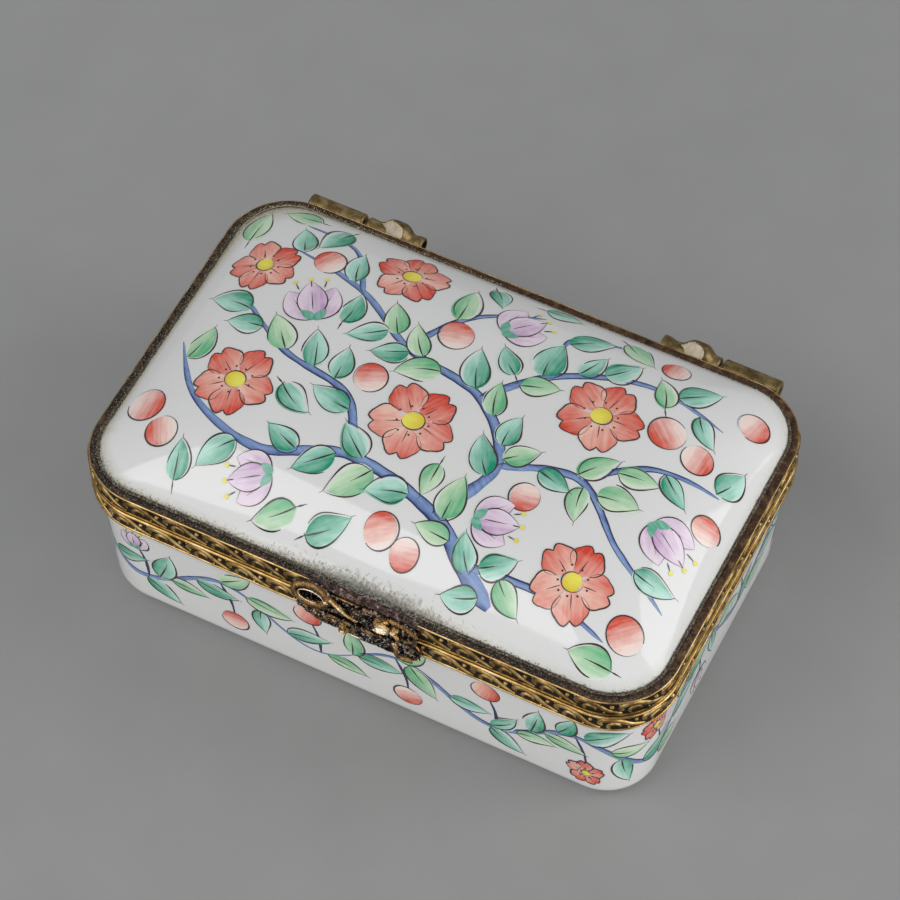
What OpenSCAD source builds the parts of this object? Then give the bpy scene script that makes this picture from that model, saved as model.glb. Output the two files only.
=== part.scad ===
// Porcelain trinket box with a domed lid, hinged at the back, in aged brass mounts.
// Millimetres. Origin at the centre of the flat underside, +X right, +Y to the hinges, +Z up.

/* [Overall] */
// Length over the flat faces of the brass bands
band_l = 69.6; // [60:0.2:84]
// Width over the flat faces of the brass bands
band_w = 44.6; // [40:0.2:54]
// Corner radius of the bands seen from above
band_r = 7.6; // [6.5:0.1:9]
// Height of the parting line above the table
parting_z = 20.8; // [17:0.1:28]
// Height of the dome above the lid band
dome_h = 7.0; // [5.5:0.1:10]

/* [Porcelain] */
// Wall of the box at its mouth
wall_t = 2.6; // [2:0.1:3]
// Thickness of the box floor
floor_t = 3.0; // [2.2:0.1:4]
// How far each outside wall leans in from band to foot
wall_draft = 0.7; // [0.3:0.1:1.2]
// Radius of the rounded lower edge
foot_fillet = 3.0; // [2:0.1:3.6]
// Radius of the hollow corner between wall and floor inside
inner_fillet = 1.6; // [0.8:0.1:2]
// Thickness of the lid
lid_t = 2.6; // [2:0.1:3]
// Distance over which the dome rises from its edge
dome_shoulder = 4.8; // [4:0.1:6]

/* [Brass bands] */
// Thickness of the upright bands
band_t = 0.6; // [0.4:0.05:0.8]
// Height of the band on the box
base_band_h = 2.9; // [2.7:0.05:3.4]
// Height of the band on the lid
lid_band_h = 2.7; // [2.6:0.05:3.2]
// Gap between both mouths when the lid is shut
mouth_gap = 0.16; // [0.1:0.02:0.3]
// Thickness of the flat mouth flanges
flange_t = 0.45; // [0.35:0.05:0.6]
// Thickness of the lip inside the box mouth
lip_t = 0.4; // [0.3:0.05:0.6]
// Depth of the lip inside the box mouth
lip_h = 1.8; // [1.4:0.1:2.4]
// Width of the ledge turned in over the lid edge
ledge_w = 1.05; // [0.9:0.05:1.2]
// Thickness of that ledge
ledge_t = 0.4; // [0.3:0.05:0.6]
// Diameter of the half round wires along both mouths
mouth_wire_d = 0.8; // [0.6:0.05:0.9]
// Diameter of the half round wires along the far edges
edge_wire_d = 0.5; // [0.4:0.05:0.6]

/* [Cement] */
// Thickness of the cement bed round the porcelain edges
cement_t = 0.2; // [0.15:0.05:0.3]
// Width of the cement bead seen between ledge and dome
bead_w = 0.3; // [0.2:0.05:0.4]
// Height of that bead over the ledge
bead_h = 0.15; // [0.05:0.05:0.25]

/* [Hinges] */
// Distance from the end of the bands to the outer end of each hinge
hinge_in = 5.5; // [5:0.1:8]
// Length of the turned knuckle on the lid
lid_knuckle_l = 7.2; // [6:0.1:8.4]
// Length of the plain knuckle on the box
base_knuckle_l = 7.0; // [6:0.1:8.4]
// End gap between the two knuckles
knuckle_gap = 0.15; // [0.1:0.05:0.3]
// Outside radius of the tubes
knuckle_r = 1.25; // [1.1:0.05:1.4]
// Radius of the knop on the turned knuckle
knop_r = 1.75; // [1.65:0.05:1.85]
// How far the knop sits up and back from the axis, each way
knop_shift = 0.45; // [0.4:0.05:0.5]
// Radius of the hinge pins
pin_r = 0.5; // [0.4:0.05:0.6]
// Running clearance of the pins in the lid knuckles
pin_play = 0.04; // [0.02:0.01:0.06]
// How far the pin ends lie back inside the lid knuckles
pin_recess = 1.0; // [0.5:0.1:1.6]
// Gap between the wires and what is soldered on beside them
solder_gap = 0.05; // [0.03:0.01:0.1]
// Air between the mouth wires and the tubes
hinge_air = 0.2; // [0.15:0.05:0.3]

/* [Clasp] */
// Middle of the clasp along the front
clasp_x = 1.2; // [-2:0.1:2]
// Width over the bow loops
clasp_w = 15.6; // [13:0.1:18]
// Depth of the cast ornaments in front of the wires
clasp_d = 1.3; // [1.2:0.05:1.6]
// Extra depth of the knot
knot_d = 0.8; // [0.4:0.1:1]
// Radius of the knot
knot_r = 1.5; // [1.3:0.1:1.7]
// Rise of the bow over the top of the lid band
bow_rise = 0.6; // [0.3:0.1:0.9]
// Distance of the bow loops from the middle of the clasp
loop_in = 0.3; // [0:0.1:0.6]
// Metal left at both ends of the hole in each loop
loop_end = 1.3; // [1:0.1:1.6]
// Metal left over and under the hole in each loop
loop_side = 0.95; // [0.8:0.05:1.1]
// How far outwards the hole sits in its loop
loop_shift = 0.3; // [0:0.1:0.5]
// How far up the hole sits in its loop
loop_lift = 0.1; // [0:0.05:0.2]
// Bow loops left free of the plate behind them, at each end
plate_in = 1.7; // [1.4:0.1:2.4]
// Top of that plate below the top of the bow
plate_low = 0.9; // [0.6:0.1:1.2]
// Drop of the leaf ornament under the box band
leaf_drop = 0.8; // [0.4:0.1:1.1]
// Breadth of each leaf
leaf_w = 2.6; // [2.2:0.1:3]
// Reach of each leaf past the end of the bow
leaf_over = 0.2; // [0:0.1:0.4]
// Height of the leaf stems over the foot of the ornament
leaf_rise = 1.45; // [1.2:0.05:1.7]
// Upward slant of the leaves in degrees
leaf_tilt = 8; // [4:1:12]
// Radius of the drop between the leaves
drop_r = 1.2; // [1:0.1:1.4]
// Width of the plate between the leaves
keeper_w = 6.4; // [5.6:0.1:8]
// Length of the bow loops left free of the solder pad at each end
pad_in = 2.4; // [1.8:0.1:3]
// How deep the solder pads sink into the castings
pad_sink = 0.1; // [0.05:0.05:0.2]
// Width of the spring prong
prong_w = 3.0; // [2.6:0.1:3.6]
// Thickness of the spring prong
prong_t = 0.3; // [0.25:0.05:0.35]
// Play of the prong in the keeper, each side
prong_play = 0.12; // [0.1:0.02:0.2]
// End of the prong below the peg
prong_end = 0.75; // [0.6:0.05:0.8]
// Floor of the prong's pocket below the peg
pocket_end = 0.9; // [0.85:0.05:1.1]
// Radius of the catch peg
peg_r = 0.35; // [0.3:0.05:0.4]
// Distance of the peg below the top of the box band
peg_drop = 1.25; // [1.1:0.05:1.4]
// Length of the peg held in the casting
peg_root = 0.4; // [0.3:0.05:0.5]

/* [Hidden] */
$fn = 64;
eps = 0.01;

// Levels of both mounts
base_top = parting_z - mouth_gap / 2;
lid_bot = parting_z + mouth_gap / 2;
base_low = base_top - base_band_h;
lid_top = lid_bot + lid_band_h;
base_wire_r = mouth_wire_d / 2;
edge_wire_r = edge_wire_d / 2;

// Insets of the porcelain from the band face
box_in = band_t + cement_t;
lid_in = ledge_w + bead_w;
lip_in = box_in + wall_t + cement_t + lip_t;
lid_flange_in = lid_in + lid_t;

// Outside line of the box wall and its foot arc
draft_a = atan(wall_draft / (base_low - foot_fillet));
foot_cx = -box_in - (base_low - foot_fillet + foot_fillet * sin(draft_a)) * tan(draft_a)
  - foot_fillet * cos(draft_a);
foot_tx = foot_cx + foot_fillet * cos(draft_a);
foot_tz = foot_fillet - foot_fillet * sin(draft_a);
wall_top = base_top - flange_t - cement_t;

// Inside line of the box wall
in_x0 = -box_in - wall_t;
in_x1 = -box_in - wall_t - wall_draft * (wall_top - floor_t) / (base_low - foot_fillet);

// Inset at which the flat middle of the floor begins
slab_in = band_r - 0.6;

// Half sizes of the dome and of its hollow
dome_a = band_l / 2 - lid_in;
dome_b = band_w / 2 - lid_in;
dome_r = band_r - lid_in;
hollow_a = dome_a - lid_t;
hollow_b = dome_b - lid_t;
hollow_r = max(dome_r - lid_t, 1.5);
lid_edge_z = lid_bot + flange_t + cement_t;
hollow_h = lid_top + dome_h - lid_t - lid_edge_z;

// Inner end of each hinge, and the hinge axis
hinge_x = band_l / 2 - hinge_in - lid_knuckle_l - knuckle_gap - base_knuckle_l;
axis_y = band_w / 2 + base_wire_r + hinge_air + knuckle_r;
axis_z = parting_z;

// Clasp planes, measured forward from the middle of the box
clasp_y = band_w / 2 + base_wire_r;
pocket_d = prong_play + prong_t;
peg_z = base_top - peg_drop;

// Carries a section round the outline of the bands: x outward from the band face, y up
module round_sweep() {
  for (k = [0:3]) {
    cx = (k == 0 || k == 3) ? band_l / 2 - band_r : band_r - band_l / 2;
    cy = k < 2 ? band_w / 2 - band_r : band_r - band_w / 2;
    run = k % 2 == 0 ? band_l - 2 * band_r : band_w - 2 * band_r;
    out = k % 2 == 0 ? band_w / 2 : band_l / 2;
    translate([cx, cy, 0]) rotate(90 * k)
      rotate_extrude(angle = 90) translate([band_r, 0]) children();
    rotate(90 * k) translate([-run / 2, out, 0]) rotate([90, 0, 90])
      linear_extrude(run) children();
  }
}

// Half of a round wire lying on the band face at a height
module half_wire(r, z) {
  round_sweep() intersection() {
    translate([0, z]) circle(r);
    translate([0, z - r]) square([r, 2 * r]);
  }
}

// Wall section of the box, with the outer part of its floor
module box_section() {
  union() {
    polygon([[-box_in, wall_top], [-box_in, base_low], [foot_tx, foot_tz],
             [foot_cx, foot_tz], [foot_cx, 0], [-slab_in, 0], [-slab_in, floor_t],
             [in_x1, floor_t], [in_x0, base_top - lip_h], [in_x0, wall_top]]);
    intersection() {
      translate([foot_cx, foot_fillet]) circle(foot_fillet);
      translate([foot_cx, 0]) square([foot_fillet, foot_tz]);
    }
    difference() {
      translate([in_x1 - inner_fillet, floor_t - eps])
        square([inner_fillet + 0.1, inner_fillet + eps]);
      translate([in_x1 - inner_fillet, floor_t + inner_fillet]) circle(inner_fillet);
    }
  }
}

module porcelain_base() {
  slab_r = band_r - slab_in;
  color("white") union() {
    round_sweep() box_section();
    linear_extrude(floor_t) union() {
      square([band_l - 2 * slab_in, band_w - 2 * band_r], center = true);
      square([band_l - 2 * band_r, band_w - 2 * slab_in], center = true);
      for (sx = [-1, 1]) for (sy = [-1, 1])
        translate([sx * (band_l / 2 - band_r), sy * (band_w / 2 - band_r)]) circle(slab_r);
    }
  }
}

module base_cement() {
  color("dimgray") round_sweep() difference() {
    translate([-box_in - wall_t - cement_t, base_low])
      square([wall_t + 2 * cement_t, base_band_h - flange_t]);
    translate([-box_in - wall_t, base_low - 1]) square([wall_t, wall_top - base_low + 1]);
    translate([-box_in - wall_t - 1, base_low - 1]) square([1 + eps, base_band_h + 1 - lip_h]);
  }
}

module base_band() {
  color("goldenrod") round_sweep() union() {
    translate([-band_t, base_low]) square([band_t, base_band_h]);
    translate([-lip_in, base_top - flange_t]) square([lip_in, flange_t]);
    translate([-lip_in, base_top - lip_h]) square([lip_t, lip_h]);
  }
}

module base_mouth_wire() {
  color("gold") half_wire(base_wire_r, base_top - base_wire_r);
}

module base_edge_wire() {
  color("gold") half_wire(edge_wire_r, base_low + edge_wire_r);
}

// Points of one quarter of a rounded rectangle, drawn towards an ellipse as round goes to 1
function quarter(a, b, r, round) = [
  for (p = concat([for (i = [0:2]) [a, (b - r) * i / 3]],
                  [for (i = [0:8]) [a - r + r * cos(90 * i / 8), b - r + r * sin(90 * i / 8)]],
                  [for (i = [1:5]) [(a - r) * (1 - i / 5), b]]))
    let (t = atan2(p[1] / b, p[0] / a))
    [p[0] * (1 - round) + a * cos(t) * round, p[1] * (1 - round) + b * sin(t) * round]
];

function ring(a, b, r, round, z) = let (q = quarter(a, b, r, round), n = len(q)) concat(
  [for (i = [0:n - 1]) [q[i][0], q[i][1], z]],
  [for (i = [n - 2:-1:0]) [-q[i][0], q[i][1], z]],
  [for (i = [1:n - 1]) [-q[i][0], -q[i][1], z]],
  [for (i = [n - 2:-1:1]) [q[i][0], -q[i][1], z]]
);

// One level line of a dome: s is 1 at the edge and 0 at the crown
function dome_ring(a, b, r, h, z0, s) =
  let (e = b * (1 - s),
       rise = (1 - exp(-e / dome_shoulder)) / (1 - exp(-b / dome_shoulder)),
       as = s * (a + (a - b) * (1 - s)), bs = b * s)
  ring(as, bs, min(r, bs * 0.9), 1 - pow(s, 1.6), z0 + h * rise);

steps = [1, 0.97, 0.93, 0.88, 0.82, 0.75, 0.66, 0.55, 0.42, 0.27, 0.12];

module porcelain_lid() {
  rings = concat(
    [ring(dome_a, dome_b, dome_r, 0, lid_edge_z)],
    [for (s = steps) dome_ring(dome_a, dome_b, dome_r, dome_h, lid_top, s)]);
  hollows = [for (s = steps) dome_ring(hollow_a, hollow_b, hollow_r, hollow_h, lid_edge_z, s)];
  m = len(rings[0]);
  k = len(rings);
  j = len(hollows);
  crown = (k + j) * m;
  points = concat([for (l = rings) for (p = l) p], [for (l = hollows) for (p = l) p],
                  [[0, 0, lid_top + dome_h], [0, 0, lid_edge_z + hollow_h]]);
  color("white") polyhedron(points, concat(
    [for (i = [0:k - 2]) for (n = [0:m - 1])
      each [[i * m + n, (i + 1) * m + n, i * m + (n + 1) % m],
            [(i + 1) * m + n, (i + 1) * m + (n + 1) % m, i * m + (n + 1) % m]]],
    [for (n = [0:m - 1]) [(k - 1) * m + n, crown, (k - 1) * m + (n + 1) % m]],
    [for (i = [k:k + j - 2]) for (n = [0:m - 1])
      each [[i * m + n, i * m + (n + 1) % m, (i + 1) * m + n],
            [(i + 1) * m + n, i * m + (n + 1) % m, (i + 1) * m + (n + 1) % m]]],
    [for (n = [0:m - 1]) [(k + j - 1) * m + n, (k + j - 1) * m + (n + 1) % m, crown + 1]],
    [for (n = [0:m - 1])
      each [[n, (n + 1) % m, k * m + n],
            [k * m + n, (n + 1) % m, k * m + (n + 1) % m]]]
  ), convexity = 4);
}

module lid_cement() {
  color("dimgray") round_sweep() polygon([
    [-band_t, lid_bot + flange_t], [-band_t, lid_top - ledge_t],
    [-ledge_w, lid_top - ledge_t], [-ledge_w, lid_top + bead_h],
    [-lid_in, lid_top + bead_h], [-lid_in, lid_edge_z],
    [-lid_flange_in, lid_edge_z], [-lid_flange_in, lid_bot + flange_t]]);
}

module lid_band() {
  color("goldenrod") round_sweep() union() {
    translate([-band_t, lid_bot]) square([band_t, lid_band_h]);
    translate([-lid_flange_in, lid_bot]) square([lid_flange_in, flange_t]);
    translate([-ledge_w, lid_top - ledge_t]) square([ledge_w, ledge_t]);
  }
}

module lid_mouth_wire() {
  color("gold") half_wire(base_wire_r, lid_bot + base_wire_r);
}

module lid_edge_wire() {
  color("gold") half_wire(edge_wire_r, lid_top - edge_wire_r);
}

// Plain tube of a hinge on the box, seen for the right hand hinge
module base_knuckle() {
  x0 = hinge_x + lid_knuckle_l + knuckle_gap;
  top = base_top - mouth_wire_d - solder_gap;
  low = base_low + edge_wire_d + solder_gap;
  difference() {
    union() {
      translate([x0, axis_y, axis_z]) rotate([0, 90, 0]) cylinder(h = base_knuckle_l, r = knuckle_r);
      translate([x0, band_w / 2, low])
        cube([base_knuckle_l, axis_y - band_w / 2, top - low]);
    }
    translate([x0 - 1, axis_y, axis_z]) rotate([0, 90, 0])
      cylinder(h = base_knuckle_l + 2, r = pin_r);
  }
}

// Turned tube of a hinge on the lid, with its collars and its knop set up and back
module lid_knuckle() {
  top = lid_top - edge_wire_d - solder_gap;
  low = lid_bot + mouth_wire_d + solder_gap;
  collar_l = 0.7;
  mid = hinge_x + lid_knuckle_l * 0.55;
  difference() {
    union() {
      translate([hinge_x, axis_y, axis_z]) rotate([0, 90, 0])
        cylinder(h = lid_knuckle_l, r = knuckle_r * 0.86);
      for (x = [hinge_x, hinge_x + lid_knuckle_l - collar_l])
        translate([x, axis_y, axis_z]) rotate([0, 90, 0]) cylinder(h = collar_l, r = knuckle_r);
      translate([mid, axis_y + knop_shift, axis_z + knop_shift]) rotate([0, 90, 0])
        rotate_extrude() intersection() {
          circle(knop_r);
          translate([0, -knop_r]) square([knop_r, 2 * knop_r]);
        }
      translate([hinge_x, band_w / 2, low])
        cube([lid_knuckle_l, axis_y - band_w / 2, top - low]);
    }
    translate([hinge_x - 1, axis_y, axis_z]) rotate([0, 90, 0])
      cylinder(h = lid_knuckle_l + 2, r = pin_r + pin_play);
  }
}

module hinge_pin() {
  x0 = hinge_x + pin_recess;
  translate([x0, axis_y, axis_z]) rotate([0, 90, 0])
    cylinder(h = lid_knuckle_l + knuckle_gap + base_knuckle_l - pin_recess - 0.2, r = pin_r);
}

module right_base_knuckle() {
  color("darkgoldenrod") base_knuckle();
}

module left_base_knuckle() {
  color("darkgoldenrod") mirror([1, 0, 0]) base_knuckle();
}

module right_lid_knuckle() {
  color("goldenrod") lid_knuckle();
}

module left_lid_knuckle() {
  color("goldenrod") mirror([1, 0, 0]) lid_knuckle();
}

module right_hinge_pin() {
  color("silver") hinge_pin();
}

module left_hinge_pin() {
  color("silver") mirror([1, 0, 0]) hinge_pin();
}

// Stands a drawing up on the front of the box: x along the front, y up, depth forward
module on_front(y, depth) {
  translate([clasp_x, -y, 0]) rotate([90, 0, 0]) linear_extrude(depth) children();
}

// A bar with round ends
module stadium(l, r) {
  square([l - 2 * r, 2 * r], center = true);
  for (s = [-1, 1]) translate([s * (l / 2 - r), 0]) circle(r);
}

// A pointed leaf of given length and breadth lying along x from its stem
module leaf(l, w) {
  r = (l * l / 4 + w * w / 4) / w;
  intersection() {
    translate([l / 2, r - w / 2]) circle(r);
    translate([l / 2, w / 2 - r]) circle(r);
  }
}

// Upper half of the clasp: a ribbon bow on the lid
module clasp_bow() {
  low = lid_bot + solder_gap;
  top = lid_top + bow_rise;
  h = top - low;
  loop_l = clasp_w / 2 - loop_in;
  color("darkgoldenrod") difference() {
    union() {
      for (s = [-1, 1]) on_front(clasp_y, clasp_d) translate([s * (loop_in + loop_l / 2), low + h / 2])
        difference() {
          stadium(loop_l, h / 2);
          translate([s * loop_shift, loop_lift]) stadium(loop_l - 2 * loop_end, h / 2 - loop_side);
        }
      on_front(clasp_y, clasp_d / 2) translate([-clasp_w / 2 + plate_in, low])
        square([clasp_w - 2 * plate_in, h - plate_low]);
      on_front(clasp_y, clasp_d + knot_d) translate([0, low + h / 2]) circle(knot_r);
      on_front(band_w / 2, clasp_y - band_w / 2 + pad_sink)
        translate([-clasp_w / 2 + pad_in, lid_bot + mouth_wire_d + solder_gap])
          square([clasp_w - 2 * pad_in, lid_band_h - mouth_wire_d - edge_wire_d - 2 * solder_gap]);
    }
    translate([clasp_x - prong_w / 2, -clasp_y - pocket_d, lid_bot - 1])
      cube([prong_w, pocket_d, 1 + mouth_wire_d + solder_gap]);
  }
}

// Lower half of the clasp: two leaves and a drop on the box
module clasp_keeper() {
  top = base_top - solder_gap;
  low = base_low - leaf_drop;
  leaf_l = clasp_w / 2 + leaf_over;
  color("darkgoldenrod") difference() {
    union() {
      for (s = [-1, 1]) on_front(clasp_y, clasp_d) intersection() {
        translate([0, low + leaf_rise]) mirror([s < 0 ? 1 : 0, 0]) rotate(leaf_tilt) leaf(leaf_l, leaf_w);
        translate([-clasp_w, low - 1]) square([2 * clasp_w, top - low + 1]);
      }
      on_front(clasp_y, clasp_d * 0.75) translate([-keeper_w / 2, low + leaf_drop])
        square([keeper_w, top - low - leaf_drop]);
      on_front(clasp_y, clasp_d + knot_d / 2) translate([0, low + drop_r]) circle(drop_r);
      on_front(band_w / 2, clasp_y - band_w / 2 + pad_sink)
        translate([-keeper_w / 2, base_low + edge_wire_d + solder_gap])
          square([keeper_w, base_band_h - mouth_wire_d - edge_wire_d - 2 * solder_gap]);
    }
    translate([clasp_x - prong_w / 2 - prong_play, -clasp_y - pocket_d - prong_play, peg_z - pocket_end])
      cube([prong_w + 2 * prong_play, pocket_d + prong_play, peg_drop + pocket_end + peg_r]);
    translate([clasp_x, -clasp_y - pocket_d - prong_play - peg_root, peg_z]) rotate([-90, 0, 0])
      cylinder(h = 1, r = peg_r);
  }
}

// Spring prong soldered behind the bow, with the hole that snaps over the peg
module catch_prong() {
  low = peg_z - prong_end;
  color("gold") difference() {
    translate([clasp_x - prong_w / 2, -clasp_y - pocket_d, low])
      cube([prong_w, prong_t, lid_bot + mouth_wire_d + solder_gap - low]);
    translate([clasp_x, -clasp_y - pocket_d - 1, peg_z]) rotate([-90, 0, 0])
      cylinder(h = 2, r = peg_r + prong_play);
  }
}

module catch_peg() {
  color("gold") translate([clasp_x, -clasp_y - pocket_d - prong_play - peg_root, peg_z]) rotate([-90, 0, 0])
    cylinder(h = peg_root + prong_play + prong_t, r = peg_r);
}

porcelain_base();
base_cement();
base_band();
base_mouth_wire();
base_edge_wire();
clasp_keeper();
catch_peg();
left_base_knuckle();
right_base_knuckle();
left_hinge_pin();
right_hinge_pin();
porcelain_lid();
lid_cement();
lid_band();
lid_mouth_wire();
lid_edge_wire();
clasp_bow();
catch_prong();
left_lid_knuckle();
right_lid_knuckle();
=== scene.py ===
import random
from functools import partial
from math import atan, atan2, cos, exp, hypot, pi, radians, sin, sqrt, tan

import bmesh
import bpy
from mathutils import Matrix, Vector, noise
from mathutils.bvhtree import BVHTree


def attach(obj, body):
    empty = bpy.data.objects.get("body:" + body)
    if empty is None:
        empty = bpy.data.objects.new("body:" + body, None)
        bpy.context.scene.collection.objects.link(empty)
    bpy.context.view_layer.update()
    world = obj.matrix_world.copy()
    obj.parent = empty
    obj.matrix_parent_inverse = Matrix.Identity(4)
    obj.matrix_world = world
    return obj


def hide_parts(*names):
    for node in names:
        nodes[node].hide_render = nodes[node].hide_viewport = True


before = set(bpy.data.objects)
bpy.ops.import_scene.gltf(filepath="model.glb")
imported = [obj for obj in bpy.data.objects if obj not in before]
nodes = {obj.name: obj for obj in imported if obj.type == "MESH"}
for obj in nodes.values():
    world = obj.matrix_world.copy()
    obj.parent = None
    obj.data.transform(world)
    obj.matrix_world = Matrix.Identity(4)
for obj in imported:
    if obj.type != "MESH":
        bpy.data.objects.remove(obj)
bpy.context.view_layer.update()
scene = bpy.context.scene
dice = random.Random(11)
between = dice.uniform
mm = 0.001
print("frame loaded,", len(nodes), "solids")


def addObject(name, data):
    made = bpy.data.objects.new(name, data)
    scene.collection.objects.link(made)
    return made



# camera at the photograph's angle
shot = {"azimuth": 26.74, "elevation": 55.73, "distance": 407, "lens": 150.1, "target": (1.05, -0.75, 23.4)}
around, above = radians(shot["azimuth"]), radians(shot["elevation"])
away = Vector((sin(around) * cos(above), -cos(around) * cos(above), sin(above)))
cameraData = bpy.data.cameras.new("photoCamera")
cameraData.lens = shot["lens"]
cameraData.sensor_width = 36
cameraData.clip_start = 0.01
camera = addObject("photoCamera", cameraData)
camera.location = (Vector(shot["target"]) + away * shot["distance"]) * mm
camera.rotation_euler = away.to_track_quat("Z", "Y").to_euler()
scene.camera = camera


def hexColor(code):
    parts = [int(code[k:k + 2], 16) / 255 for k in (1, 3, 5)]
    return tuple(c / 12.92 if c <= 0.04045 else ((c + 0.055) / 1.055) ** 2.4 for c in parts) + (1.0,)


def setUp(node, settings):  # options, ramp stops, values, hex colours and sockets to link
    for key, value in settings.items():
        if isinstance(value, bpy.types.NodeSocket):
            node.id_data.links.new(value, node.inputs[key])
        elif key == "stops":
            stops = node.color_ramp.elements
            stops[0].position, stops[1].position = value[0][0], value[-1][0]
            stops[0].color, stops[1].color = hexColor(value[0][1]), hexColor(value[-1][1])
            for spot, code in value[1:-1]:
                stops.new(spot).color = hexColor(code)
        elif isinstance(key, str) and hasattr(node, key):
            setattr(node, key, value)
        else:
            node.inputs[key].default_value = hexColor(value) if isinstance(value, str) else value


def addNode(tree, kind, settings, output=None):  # gives back the output that is used
    node = tree.nodes.new("ShaderNode" + kind)
    setUp(node, settings)
    return node.outputs[output] if output else next(one for one in node.outputs if one.enabled)


def newMaterial(name, settings):
    made = bpy.data.materials.new(name)
    made.use_nodes = True
    skin = made.node_tree.nodes["Principled BSDF"]
    setUp(skin, settings)
    add = partial(addNode, made.node_tree)
    return made, skin, add, add("TexCoord", {}, "Object")


def perMetre(sizeMm):  # noise scale whose features are about sizeMm across
    return 1000.0 / sizeMm


def noiseAt(x, y, z):
    return noise.noise(Vector((x, y, z)))


def clamp(value):
    return min(max(value, 0.0), 1.0)


def newMesh(name, verts, faces, materials):
    mesh = bpy.data.meshes.new(name)
    mesh.from_pydata([Vector(v) * mm for v in verts], [], faces)
    for one in materials:
        mesh.materials.append(one)
    return mesh


def addField(mesh, name, values):
    mesh.attributes.new(name, "FLOAT", "POINT").data.foreach_set("value", values)


def linkMesh(name, mesh, body):
    mesh.polygons.foreach_set("use_smooth", [True] * len(mesh.polygons))
    piece = addObject(name, mesh)
    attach(piece, body)
    return piece


def makePiece(name, verts, faces, materials, body, replaced=(), slots=None):
    mesh = newMesh(name, verts, faces, materials)
    if slots:
        mesh.polygons.foreach_set("material_index", slots)
    work = bmesh.new()
    work.from_mesh(mesh)
    bmesh.ops.recalc_face_normals(work, faces=work.faces)
    work.to_mesh(mesh)
    work.free()
    piece = linkMesh(name, mesh, body)
    if replaced:
        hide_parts(*replaced)
    return piece


# materials

def glazedPorcelain():  # hard paste under clear glaze: white body, mirror-smooth skin, olive dirt and painted shade along the mounts
    made, skin, add, place = newMaterial("glazedPorcelain", {
        "Roughness": 0.07, "IOR": 1.58, "Subsurface Weight": 0.08, "Subsurface Scale": 1.2 * mm,
        "Subsurface Radius": (1.0, 0.9, 0.8)})
    cloud = add("TexNoise", {"Scale": perMetre(14), "Detail": 2.0, "Vector": place})
    body = add("Mix", {"data_type": "RGBA", 6: "#e7e7e4", 7: "#dfdfde", 0: cloud})
    dirtAndShade = add("Attribute", {"attribute_name": "grime"}, "Fac")
    grit = add("TexNoise", {"Scale": perMetre(0.3), "Detail": 4.0, "Vector": place})
    patchy = add("Math", {"operation": "MULTIPLY", 0: grit, 1: dirtAndShade})
    # olive halo: partly dirt, partly painted shade where the porcelain meets the mounts
    halo = add("MapRange", {"From Min": 0.02, "From Max": 0.5, "To Max": 0.85, "Value": patchy})
    colour = add("Mix", {"data_type": "RGBA", 7: "#9a8d62", 0: halo, 6: body})
    matt = add("MapRange", {"From Max": 0.4, "To Min": 0.07, "To Max": 0.6, "Value": patchy})
    wave = add("TexNoise", {"Scale": perMetre(7), "Detail": 1.0, "Vector": place})
    bump = add("Bump", {"Strength": 0.12, "Distance": 0.08 * mm, "Height": wave})
    setUp(skin, {"Base Color": colour, "Roughness": matt, "Normal": bump})
    return made


def overglazeEnamel():  # brushed by hand and fired on the glaze: streaky washes, darker where strokes end
    made, skin, add, place = newMaterial("overglazeEnamel", {"Roughness": 0.1, "IOR": 1.5})
    pale, deep = [add("Attribute", {"attribute_name": name}, "Color")
                  for name in ("paleColor", "deepColor")]
    wash, cover = [add("Attribute", {"attribute_name": name}, "Fac")
                   for name in ("wash", "cover")]
    strokes = add("UVMap", {"uv_map": "strokes"})
    hairs = add("Mapping", {"Scale": (0.32, 2.4, 1.0), "Vector": strokes})
    streak = add("TexNoise", {"Scale": 1.0, "Detail": 3.0, "Vector": hairs})
    pool = add("TexNoise", {"Scale": perMetre(1.6), "Detail": 2.0, "Vector": place})
    mixed = add("Math", {"operation": "MULTIPLY_ADD", 1: 0.85, 2: -0.425, 0: streak})
    wet = add("Math", {"operation": "MULTIPLY_ADD", 1: 0.6, 2: -0.3, 0: pool})
    uneven = add("Math", {"operation": "ADD", 0: mixed, 1: wet})
    depth = add("Math", {"operation": "ADD", "use_clamp": True, 0: uneven, 1: wash})
    brushed = add("Mix", {"data_type": "RGBA", 0: depth, 6: pale, 7: deep})
    broken = add("Math", {"operation": "ADD", 0: mixed, 1: cover})
    film = add("MapRange", {"From Min": 0.12, "From Max": 0.75, "Value": broken})
    colour = add("Mix", {"data_type": "RGBA", 6: "#edecea", 0: film, 7: brushed})
    setUp(skin, {"Base Color": colour})
    return made


def agedBrass(name, tones, roughness, grain, metallic=1.0, bumpMm=0.02):
    # brass left to darken: golden and brown in blotches, the golden blotches a little rougher
    made, skin, add, place = newMaterial(name, {"Metallic": metallic, "Roughness": roughness})
    blotch = add("TexNoise", {"Scale": perMetre(grain), "Detail": 5.0, "Roughness": 0.65, "Vector": place})
    colour = add("ValToRGB", {"stops": list(zip((0.34, 0.5, 0.66), tones)), "Fac": blotch})
    dull = add("MapRange", {"To Min": roughness - 0.1, "To Max": roughness + 0.16, "Value": blotch})
    fine = add("TexNoise", {"Scale": perMetre(0.35), "Detail": 3.0, "Vector": place})
    bump = add("Bump", {"Strength": 0.5, "Distance": bumpMm * mm, "Height": fine})
    setUp(skin, {"Base Color": colour, "Roughness": dull, "Normal": bump})
    return made


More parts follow.
